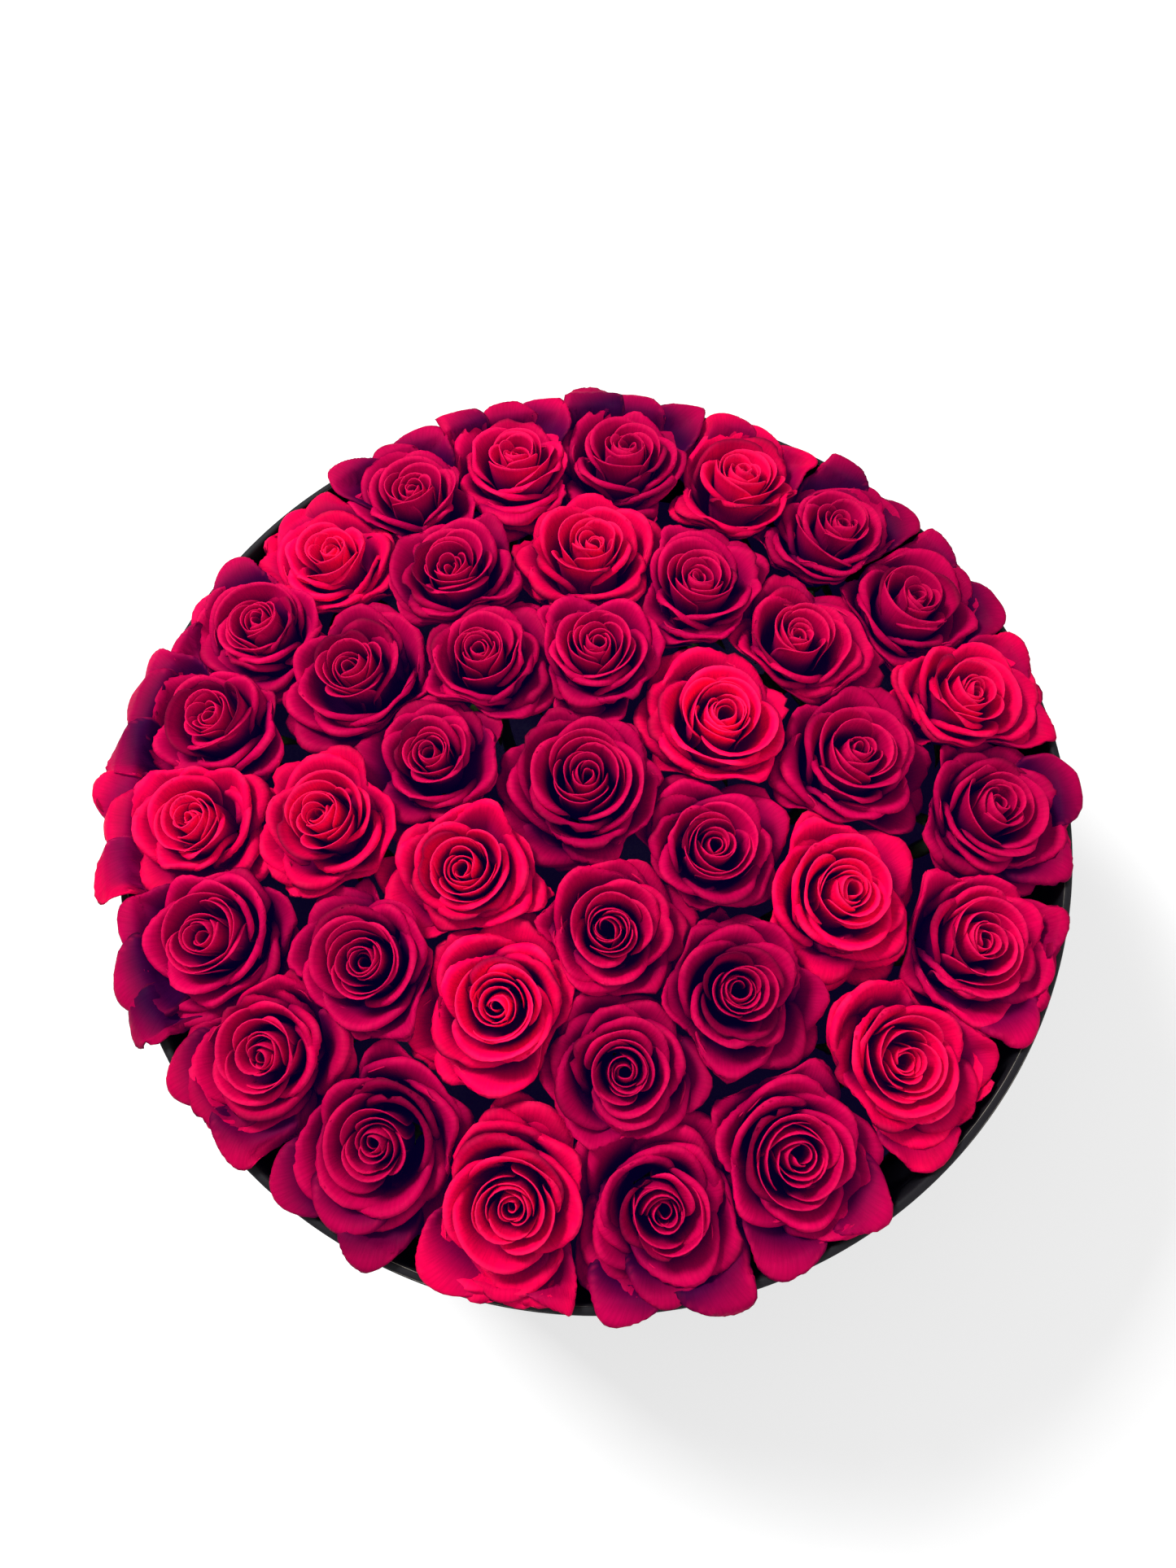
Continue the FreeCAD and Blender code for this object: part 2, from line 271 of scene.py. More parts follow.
@dataclass(frozen=True)
class StemFinish:
    """Waxy green skin of stem, hip and sepals: satin and mottled."""

    name: str = "rose_stem_skin"
    light: str = "#4f6b2c"
    dark: str = "#2c4320"
    mottle: float = 3 * MM
    mottle_detail: float = 4.0
    relief: float = 0.2 * MM
    relief_strength: float = 0.3
    roughness: float = 0.42

    def material(self) -> bpy.types.Material:
        """Build the stem material.

        Returns:
            The material.
        """
        material, tree = new_material(self.name)
        place = add_node(tree, "ShaderNodeTexCoord").outputs
        mottle = add_node(tree, "ShaderNodeTexNoise", {
            "Vector": place["Object"], "Scale": 1 / self.mottle, "Detail": self.mottle_detail})
        colour = add_node(tree, "ShaderNodeMix", {
            "Factor": mottle, "A": linear(self.dark), "B": linear(self.light)}, data_type="RGBA")
        bump = add_node(tree, "ShaderNodeBump", {
            "Height": mottle, "Strength": self.relief_strength, "Distance": self.relief})
        shader = add_node(tree, "ShaderNodeBsdfPrincipled", {
            "Base Color": colour.outputs["Result"], "Normal": bump, "Roughness": self.roughness})
        add_node(tree, "ShaderNodeOutputMaterial", {"Surface": shader})
        return material


@dataclass(frozen=True)
class PaperFinish:
    """Dyed paper or board with a fine pressed grain: matte, with slightly paler worn fibres."""

    name: str
    face: str
    worn: str
    # The grain of real paper is finer. It is drawn coarser, so that it shows.
    grain: float = 0.8 * MM
    grain_detail: float = 3.0
    grain_roughness: float = 0.65
    grain_depth: float = 0.12 * MM
    grain_strength: float = 0.5
    cloud_size: float = 40 * MM
    cloud_detail: float = 4.0
    roughness: float = 0.68
    smoother: float = 0.1
    rougher: float = 0.12
    specular: float = 0.12

    def material(self) -> bpy.types.Material:
        """Build the paper material.

        Returns:
            The material.
        """
        material, tree = new_material(self.name)
        place = add_node(tree, "ShaderNodeTexCoord").outputs
        grain = add_node(tree, "ShaderNodeTexNoise", {
            "Vector": place["Object"], "Scale": 1 / self.grain,
            "Detail": self.grain_detail, "Roughness": self.grain_roughness})
        cloud = add_node(tree, "ShaderNodeTexNoise", {
            "Vector": place["Object"], "Scale": 1 / self.cloud_size, "Detail": self.cloud_detail})
        worn = add_node(tree, "ShaderNodeMath", {0: grain, 1: cloud}, operation="MULTIPLY")
        colour = add_node(tree, "ShaderNodeMix", {
            "Factor": worn, "A": linear(self.face), "B": linear(self.worn)}, data_type="RGBA")
        rough = add_node(tree, "ShaderNodeMapRange", {
            "Value": grain,
            "To Min": self.roughness - self.smoother, "To Max": self.roughness + self.rougher})
        bump = add_node(tree, "ShaderNodeBump", {
            "Height": grain, "Strength": self.grain_strength, "Distance": self.grain_depth})
        shader = add_node(tree, "ShaderNodeBsdfPrincipled", {
            "Base Color": colour.outputs["Result"], "Normal": bump, "Roughness": rough,
            "Specular IOR Level": self.specular})
        add_node(tree, "ShaderNodeOutputMaterial", {"Surface": shader})
        return material


@dataclass(frozen=True)
class FoamFinish:
    """Soaked phenolic flower foam: dull black, crumbly, full of fine open pores.

    The faint glow is painted light, though the foam is no lamp: it gives the shaded gaps between the roses
    the same violet cast as the folds of the petals.
    """

    name: str = "flower_foam"
    face: str = "#171622"
    # Colour of the painted shade in the pits of the pores.
    painted_pore_shade: str = "#050410"
    # Real pores are finer. They are drawn coarser, so that they show.
    pore_size: float = 1.4 * MM
    pore_depth: float = 0.5 * MM
    pore_strength: float = 0.7
    roughness: float = 0.95
    # Painted light: a faint violet glow in the shaded gaps between the roses.
    glow: str = "#08031e"
    painted_glow_strength: float = 1.0

    def material(self) -> bpy.types.Material:
        """Build the foam material.

        Returns:
            The material.
        """
        material, tree = new_material(self.name)
        place = add_node(tree, "ShaderNodeTexCoord").outputs
        pores = add_node(tree, "ShaderNodeTexVoronoi", {
            "Vector": place["Object"], "Scale": 1 / self.pore_size})
        # Painted shade: darker in the pits of the pores.
        colour = add_node(tree, "ShaderNodeMix", {
            "Factor": pores, "A": linear(self.painted_pore_shade), "B": linear(self.face)}, data_type="RGBA")
        bump = add_node(tree, "ShaderNodeBump", {
            "Height": pores, "Strength": self.pore_strength, "Distance": self.pore_depth})
        shader = add_node(tree, "ShaderNodeBsdfPrincipled", {
            "Base Color": colour.outputs["Result"], "Normal": bump, "Roughness": self.roughness,
            "Emission Color": linear(self.glow), "Emission Strength": self.painted_glow_strength})
        add_node(tree, "ShaderNodeOutputMaterial", {"Surface": shader})
        return material


@dataclass(frozen=True)
class LinerFinish:
    """Vacuum-formed black polypropylene: satin, with a faint orange-peel texture."""

    name: str = "black_polypropylene"
    face: str = "#17191b"
    peel: float = 1.5 * MM
    peel_detail: float = 2.0
    peel_depth: float = 0.1 * MM
    peel_strength: float = 0.2
    roughness: float = 0.4
    ior: float = 1.49
    specular: float = 0.3

    def material(self) -> bpy.types.Material:
        """Build the liner material.

        Returns:
            The material.
        """
        material, tree = new_material(self.name)
        place = add_node(tree, "ShaderNodeTexCoord").outputs
        peel = add_node(tree, "ShaderNodeTexNoise", {
            "Vector": place["Object"], "Scale": 1 / self.peel, "Detail": self.peel_detail})
        bump = add_node(tree, "ShaderNodeBump", {
            "Height": peel, "Strength": self.peel_strength, "Distance": self.peel_depth})
        shader = add_node(tree, "ShaderNodeBsdfPrincipled", {
            "Base Color": linear(self.face), "Normal": bump, "Roughness": self.roughness, "IOR": self.ior,
            "Specular IOR Level": self.specular})
        add_node(tree, "ShaderNodeOutputMaterial", {"Surface": shader})
        return material


# Each finish gives the petal's colour, then the colour of the painted shade towards its base, then that of
# the painted highlight on its rim and crest.
PETAL_FINISHES = {
    Shade.SCARLET: PetalFinish("scarlet_rose_petal", "#ff0048", "#80003a", "#ff2864"),
    Shade.RED: PetalFinish("red_rose_petal", "#dc0046", "#4a0030", "#f2205c"),
    Shade.CRIMSON: PetalFinish("crimson_rose_petal", "#c60044", "#34002a", "#e01850"),
}
COVER_PAPER = PaperFinish("black_cover_paper", "#0d0c10", "#26242a", roughness=0.6)
LINING_PAPER = PaperFinish("black_lining_paper", "#0b0a12", "#1b1922")
GREYBOARD = PaperFinish("greyboard", "#6f6a62", "#8a857b", grain=1.2 * MM)


@dataclass(frozen=True)
class RosePlace:
    """Where one rose stands, read from its CAD node and its pull slide. Lengths are metres."""

    name: str
    cut_end: np.ndarray
    axis: np.ndarray
    length: float
    radius: float

    STEM_END_BAND = 7 * MM
    HEAD_PROPORTION = 46 / 53
    WIDEST_LEVEL = 0.8

    @classmethod
    def read(cls, joint: dict) -> "RosePlace":
        """Measure a rose on its CAD node.

        Args:
            joint: The rose's pull slide, as the record gives it.

        Returns:
            The place of the rose.
        """
        mesh = frame["nodes"][joint["child"]].data
        points = np.empty(len(mesh.vertices) * 3)
        mesh.vertices.foreach_get("co", points)
        points = points.reshape(-1, 3)
        axis = np.array(joint["axis"]) / np.linalg.norm(joint["axis"])
        along = points @ axis
        across = points - along[:, None] * axis
        end = across[along < along.min() + cls.STEM_END_BAND]
        centre = (end.min(axis=0) + end.max(axis=0)) / 2
        spread = across - centre
        inward = spread[:, :2] @ centre[:2] <= 0
        radius = np.linalg.norm(spread[inward], axis=1).max()
        return cls(joint["child"], centre + along.min() * axis, axis, np.ptp(along), float(radius))

    @property
    def height(self) -> float:
        """Height of the head, from the calyx to its top."""
        return 2 * self.radius * self.HEAD_PROPORTION

    @property
    def foot(self) -> np.ndarray:
        """Point on the axis where the head sits on the calyx."""
        return self.cut_end + (self.length - self.height) * self.axis

    @property
    def middle(self) -> np.ndarray:
        """Point on the axis at the widest part of the head."""
        return self.foot + self.WIDEST_LEVEL * self.height * self.axis

    def upright(self) -> np.ndarray:
        """Rotation that carries the upright shape onto the rose's axis, with +X leaning outwards.

        Returns:
            A matrix with the turned axes as its columns.
        """
        outward = np.array([self.middle[0], self.middle[1], 0.0])
        side = np.cross(self.axis, outward)
        side /= np.linalg.norm(side)
        return np.stack([np.cross(side, self.axis), side, self.axis], axis=1)


@dataclass(frozen=True)
class Contact:
    """Wavy, leaning surface on which two neighbouring heads meet. Each head keeps to its own side of it."""

    point: np.ndarray
    normal: np.ndarray
    tangent: np.ndarray
    wave: float
    phase: float

    WAVE_LENGTH = 21 * MM
    WAVE_HEIGHT = (0.45 * MM, 1.5 * MM)
    LEAN = (0.38, 0.68)

    @classmethod
    def between(cls, first: RosePlace, second: RosePlace, seed: int) -> "Contact":
        """Find where two heads meet.

        Args:
            first: Head on the side that the normal points away from.
            second: Head on the other side.
            seed: Seed of the lean and the wave.

        Returns:
            The surface.
        """
        random = np.random.default_rng(seed)
        way = second.middle - first.middle
        level = way / np.linalg.norm(way)
        share = first.radius / (first.radius + second.radius)
        up = first.axis + second.axis
        up = up - (up @ level) * level
        up /= np.linalg.norm(up)
        lean = random.choice([-1, 1]) * random.uniform(*cls.LEAN)
        return cls(
            point=first.middle + share * way,
            normal=math.cos(lean) * level + math.sin(lean) * up,
            tangent=np.cross(up, level),
            wave=random.uniform(*cls.WAVE_HEIGHT),
            phase=random.uniform(0, FULL_TURN),
        )

    def past(self, points: np.ndarray) -> np.ndarray:
        """Find how far points lie beyond the surface, as the first head sees it.

        Args:
            points: Positions, one row each.

        Returns:
            Signed distances.
        """
        away = points - self.point
        along = away @ self.tangent
        return away @ self.normal + self.wave * np.sin(FULL_TURN * along / self.WAVE_LENGTH + self.phase)


@dataclass(frozen=True)
class Rim:
    """Upper edge of the box wall, on which petals come to rest."""

    inside: float
    outside: float
    height: float

    CLEARANCE = 1.3 * MM
    SOFTNESS = 0.8 * MM
    MARGIN = 2.5 * MM
    INNER_SLOPE = 4.0
    OUTER_SLOPE = 1.2
    LINING = 0.4 * MM

    @classmethod
    def read(cls) -> "Rim":
        """Measure the rim on the CAD nodes of the covering paper and the lining."""
        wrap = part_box("outer_wrap")[1]
        return cls(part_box("wall_lining")[1][0] - cls.LINING, wrap[0], wrap[2])

    def rest(self, points: np.ndarray, inset: np.ndarray) -> np.ndarray:
        """Lift points that would lie in the wall over the rim.

        Args:
            points: Positions, one row each.
            inset: Extra height of each point above the rim.

        Returns:
            The lifted positions.
        """
        radius = np.hypot(points[:, 0], points[:, 1])
        floor = self.height + self.CLEARANCE + inset
        floor -= self.INNER_SLOPE * np.maximum(self.inside - self.MARGIN - radius, 0.0)
        floor -= self.OUTER_SLOPE * np.maximum(radius - self.outside - self.MARGIN, 0.0)
        lifted = points.copy()
        lifted[:, 2] += self.SOFTNESS * np.logaddexp(0.0, (floor - points[:, 2]) / self.SOFTNESS)
        return lifted


@dataclass(frozen=True)
class Cell:
    """Room that one rose has between its neighbours, with the rim on which its outer petals rest."""

    contacts: list[tuple[Contact, int]]
    rim: Rim

    SOFTNESS = 1.2 * MM
    CLEARANCE = 0.12 * MM
    NEIGHBOUR = 1.6
    SEEDS_PER_ROSE = 100
    STEPS = 60

    @classmethod
    def plan(cls, places: list[RosePlace], rim: Rim) -> list["Cell"]:
        """Share the room out between all roses.

        Args:
            places: The roses.
            rim: The rim of the box.

        Returns:
            One cell for each rose.
        """
        cells = [cls([], rim) for _ in places]
        for first in range(len(places)):
            for second in range(first + 1, len(places)):
                gap = np.linalg.norm(places[first].middle - places[second].middle)
                if gap < cls.NEIGHBOUR * (places[first].radius + places[second].radius):
                    seed = cls.SEEDS_PER_ROSE * first + second
                    contact = Contact.between(places[first], places[second], seed)
                    cells[first].contacts.append((contact, 1))
                    cells[second].contacts.append((contact, -1))
        return cells

    def reach(self, start: np.ndarray, direction: np.ndarray, longest: float) -> float:
        """Room from a point along a direction.

        Args:
            start: Point inside the cell.
            direction: Unit vector.
            longest: Answer where nothing is in the way.

        Returns:
            Distance to the nearest contact surface, at most longest.
        """
        steps = np.linspace(0, longest, self.STEPS)
        line = start + steps[:, None] * direction
        free = np.ones(len(steps), dtype=bool)
        for contact, side in self.contacts:
            free &= side * contact.past(line) < 0
        return longest if free.all() else float(steps[int(np.argmin(free))])

    def squeeze(self, points: np.ndarray, inset: np.ndarray) -> np.ndarray:
        """Press points that pass a boundary smoothly back into the cell, and lift them over the rim.

        Args:
            points: Positions, one row each.
            inset: Extra distance of each point from the boundary, so that pressed petals stay apart.

        Returns:
            The pressed positions.
        """
        for contact, side in self.contacts:
            past = side * contact.past(points) + self.CLEARANCE + np.maximum(inset, 0.0)
            pressed = -self.SOFTNESS * np.exp(-(np.maximum(past, -self.SOFTNESS) / self.SOFTNESS + 1))
            push = np.where(past > -self.SOFTNESS, pressed - past, 0.0)
            points = points + side * push[:, None] * contact.normal
        return self.rim.rest(points, inset)


@dataclass(frozen=True)
class Petal:
    """Measures of one petal, in metres and radians, round an upright axis.

    The petal is worked out over a flat disc whose tip is at along = 1. Its rim rolls back beyond a fold
    line, which is a roof of two straight slopes with its point at the tip. Base and lip are each a radius
    and a height, and the phases are those of its waves.
    """

    bearing: float
    half_angle: float
    base: tuple[float, float]
    lip: tuple[float, float]
    base_lean: float
    lip_lean: float
    curl_radius: float
    fold_tip: float
    fold_slope: float
    fold_side: float
    spiral: float
    bulge: float
    skew: float
    ruffle: float
    crease: float
    tear: float
    phases: tuple[float, float, float, float]
    shift: tuple[float, float]
    tone: float
    keel: float
    inset: float
    rows: int

    PHASES = 4
    STEP = 1e-3
    CENTRE = 1e-9
    CROWDING = 0.18
    SQUARENESS = 2.8
    TEAR_WIDTH = 0.11
    TEAR_SPREAD = 0.25
    TEAR_DEPTH_POWER = 6
    PULL = 0.42
    BASE_WIDTH = 0.72
    WIDENING = 0.4
    FOLD_SHARPNESS = 26.0
    FOLD_EASE = 0.0006
    FOLD_LEAST = 0.3
    RUFFLES = ((3, 1.0), (7, 0.6), (12, 0.4))
    RUFFLE_POWER = 4
    SWELLS = (4.2, 3.1)
    KEEL_HALF_WIDTH = 0.4

    def cut(self) -> tuple[np.ndarray, np.ndarray, np.ndarray]:
        """Grid over the flat petal, closer towards its edge: a disc with full shoulders and perhaps a tear.

        Returns:
            Coordinates over the width and from base to tip, and the share of the way from middle to edge.
        """
        spaced = np.linspace(-1, 1, self.rows)
        spaced = spaced * (1 + self.CROWDING * (1 - spaced ** 2))
        p, q = np.meshgrid(spaced, spaced, indexing="ij")
        across, along = p * np.sqrt(1 - q ** 2 / 2), q * np.sqrt(1 - p ** 2 / 2)
        outward = np.hypot(across, along)
        from_tip = np.arctan2(across, along)
        power = self.SQUARENESS
        square = (np.abs(np.cos(from_tip)) ** power + np.abs(np.sin(from_tip)) ** power) ** (-1 / power)
        away = (from_tip - (self.phases[3] - math.pi) * self.TEAR_SPREAD) / self.TEAR_WIDTH
        torn = self.tear * np.exp(-away ** 2) * outward ** self.TEAR_DEPTH_POWER
        size = np.where(along > 0, square, 1.0) - torn
        return across * size, along * size, outward

    def sheet(self, across: np.ndarray, along: np.ndarray) -> np.ndarray:
        """Uncurled petal: a curve from base to lip, swept round the axis.

        Args:
            across: Disc coordinate over the width.
            along: Disc coordinate from base to tip.

        Returns:
            Positions with a last axis of three.
        """
        t = (along + 1) / 2
        pull = self.PULL * math.dist(self.base, self.lip)
        leave = np.array([math.sin(self.base_lean), math.cos(self.base_lean)])
        arrive = np.array([math.sin(self.lip_lean), math.cos(self.lip_lean)])
        points = np.array([self.base, self.base + pull * leave, self.lip - pull * arrive, self.lip])
        weights = np.stack([(1 - t) ** 3, 3 * t * (1 - t) ** 2, 3 * t ** 2 * (1 - t), t ** 3], axis=-1)
        profile = weights @ points
        width = self.half_angle * (self.BASE_WIDTH + self.WIDENING * t)
        angle = self.bearing + across * width + self.skew * t
        radius = profile[..., 0] + self.spiral * across + self.bulge * across ** 2
        x = radius * np.cos(angle) + self.shift[0] * t
        y = radius * np.sin(angle) + self.shift[1] * t
        return np.stack([x, y, profile[..., 1]], axis=-1)

    def fold(self, from_tip: np.ndarray) -> np.ndarray:
        """Distance of the fold line from the disc's centre.

        Args:
            from_tip: Direction from the centre, 0 towards the tip.

        Returns:
            The smaller of the roof's distance and the sides', blended softly.
        """
        slope = self.fold_slope * np.sqrt(np.sin(from_tip) ** 2 + self.FOLD_EASE)
        roof = self.fold_tip / np.maximum(np.cos(from_tip) + slope, self.FOLD_LEAST)
        sides = math.exp(-self.FOLD_SHARPNESS * self.fold_side)
        return -np.log(np.exp(-self.FOLD_SHARPNESS * roof) + sides) / self.FOLD_SHARPNESS

    def curled(self, across: np.ndarray, along: np.ndarray) -> tuple[np.ndarray, np.ndarray]:
        """Petal with its rim rolled back beyond the fold line, and its surface waved.

        Args:
            across: Disc coordinate over the width.
            along: Disc coordinate from base to tip.

        Returns:
            Positions with a last axis of three, and the angle by which each is rolled back.
        """
        distance = np.maximum(np.hypot(across, along), self.CENTRE)
        from_tip = np.arctan2(across, along)
        fold = self.fold(from_tip)
        inside = np.minimum(1.0, fold / distance)
        x, y = across * inside, along * inside
        start = self.sheet(x, y)
        by_x = (self.sheet(x + self.STEP, y) - start) / self.STEP
        by_y = (self.sheet(x, y + self.STEP) - start) / self.STEP
        outward = (by_x * across[..., None] + by_y * along[..., None]) / distance[..., None]
        speed = np.linalg.norm(outward, axis=-1, keepdims=True)
        normal = unit(np.cross(by_x, by_y))
        turn = np.maximum(distance - fold, 0.0)[..., None] * speed / self.curl_radius
        rolled = start + outward / np.maximum(speed, TINY) * self.curl_radius * np.sin(turn)
        rolled += normal * self.curl_radius * (1 - np.cos(turn))
        waves = zip(self.RUFFLES, self.phases)
        wave = sum(size * np.sin(count * from_tip + phase) for (count, size), phase in waves)
        swell = np.sin(self.SWELLS[0] * across + self.phases[2]) * np.clip(along + 1, 0, 1)
        swell *= np.sin(self.SWELLS[1] * along + self.phases[3])
        ridge = (self.KEEL_HALF_WIDTH - np.abs(across)) * np.clip(along, 0, 1) ** 2
        relief = self.ruffle * wave * distance ** self.RUFFLE_POWER
        relief += self.crease * swell + self.keel * ridge
        return rolled + normal * relief[..., None], turn[..., 0]


@dataclass(frozen=True)
class Growth:
    """A measure of the petals that changes from the bud to the outermost petal."""

    bud: float
    outer: float

    def at(self, share: float) -> float:
        """Value at a share of the way from the bud outwards."""
        return self.bud + (self.outer - self.bud) * share


@dataclass(frozen=True)
class GuardLayer:
    """One ring of guard petals. Offset and width are shares of the sector that each petal has."""

    offset: float
    width: float
    rise: tuple[float, float]
    inset: float


@dataclass(frozen=True)
class SpiralRule:
    """How the petals of a head change from the bud outwards.

    A pair of numbers is the range of a draw, and a spread is a draw's standard deviation. Levels and rises
    are shares of the head's height, and the base's radius and the bulge are shares of the lip's radius.
    """

    petals: int = 23
    whorl: int = 5
    step: float = math.radians(144)
    whorl_step: float = math.radians(36)
    step_spread: float = 0.13
    level: float = 0.85
    widest: float = 30 * MM
    least_radius: float = 0.85
    ahead: float = 1.08
    radius_spread: Growth = Growth(0.14, 0.03)
    lip_rise: Growth = Growth(0.95, 1.03)
    lip_drop: float = 0.24
    lip_drop_power: float = 2.6
    lip_spread: Growth = Growth(1.4 * MM, 0.6 * MM)
    half_angle: Growth = Growth(math.radians(116), math.radians(72))
    half_angle_spread: Growth = Growth(0.16, 0.08)
    base_least: float = 0.9 * MM
    base_radius: Growth = Growth(0.34, 0.221)
    base_rise: float = 0.30
    base_rise_power: float = 1.5
    base_lean: Growth = Growth(math.radians(12), math.radians(67))
    lip_lean: Growth = Growth(math.radians(-12), math.radians(66))
    lip_lean_power: float = 1.3
    lip_lean_spread: float = math.radians(6)
    curl_radius: Growth = Growth(0.65 * MM, 1.25 * MM)
    rolled_from: float = 0.42
    rolled_over: float = 0.4
    fold_tip: Growth = Growth(1.12, 0.99)
    fold_slope: Growth = Growth(0.0, 0.85)
    fold_slope_range: tuple[float, float] = (0.7, 1.2)
    fold_side: Growth = Growth(1.12, 0.90)
    overlap: Growth = Growth(0.5, 1.0)
    overlap_range: tuple[float, float] = (0.5 * MM, 1.9 * MM)
    bulge_spread: Growth = Growth(0.19, 0.07)
    skew_spread: Growth = Growth(0.25, 0.10)
    ruffle: Growth = Growth(0.08 * MM, 0.30 * MM)
    crease: Growth = Growth(0.1 * MM, 0.6 * MM)
    tear: float = 0.14
    tear_from: float = 0.5
    tear_share: float = 0.2
    tone_spread: float = 0.04
    keel: Growth = Growth(0.0, 1.2 * MM)
    inset: float = 1.2 * MM
    inset_step: float = 0.3 * MM
    # Number of a petal below which its grid has so many rows.
    rows: tuple[tuple[int, int], ...] = ((10, 13), (17, 16), (23, 20))


@dataclass(frozen=True)
class GuardRule:
    """Measures of the wide guard petals under a head. A pair of numbers is the range of a draw.

    Each petal tries several bearings in its sector and takes the roomiest. The cost of turning is the room
    that has to be gained for each radian away from the middle of the sector.
    """

    count: int = 6
    layers: tuple[GuardLayer, ...] = (
        GuardLayer(0.0, 0.5, (0.68, 0.77), 0.6 * MM),
        GuardLayer(0.5, 0.9, (0.52, 0.66), 0.0),
    )
    tries: int = 15
    cost_of_turning: float = 4 * MM
    longest: float = 34 * MM
    reach_range: tuple[float, float] = (0.95, 1.04)
    half_width: tuple[float, float] = (22.5 * MM, 28.75 * MM)
    base: tuple[float, float] = (4 * MM, 1 * MM)
    base_lean: float = math.radians(60)
    lip_lean: tuple[float, float] = (math.radians(52), math.radians(88))
    curl_radius: tuple[float, float] = (1.4 * MM, 2.2 * MM)
    fold_tip: float = 0.94
    fold_slope: tuple[float, float] = (0.65, 0.95)
    fold_side: float = 0.86
    skew_spread: float = 0.1
    ruffle: tuple[float, float] = (0.35 * MM, 0.7 * MM)
    crease: float = 0.9 * MM
    tear: float = 0.18
    tear_share: float = 0.4
    notch: float = 0.05
    # Guard petals are darker than the spiral's petals: painted shade for lying lower under the head, with a
    # random spread between them.
    tone: tuple[float, float] = (0.78, 1.0)
    keel: float = 1.0 * MM
    rows: int = 15


@dataclass(frozen=True)
class OverRimRule:
    """Placing of the guard petals that lie over the rim of the box. Bearing 0 is straight outwards.

    A rose has such petals when the rim is nearer to its middle than near times its radius.
    """

    count: int = 3
    near: float = 1.6
    step: float = 0.66
    step_spread: float = 0.1
    sector: float = 0.1
    further_aside: float = 0.2
    reach_range: tuple[float, float] = (0.88, 1.02)
    rise: tuple[float, float] = (0.70, 0.84)
    inset_step: float = 1 * MM
    droop: float = math.radians(38)
    rows: int = 24


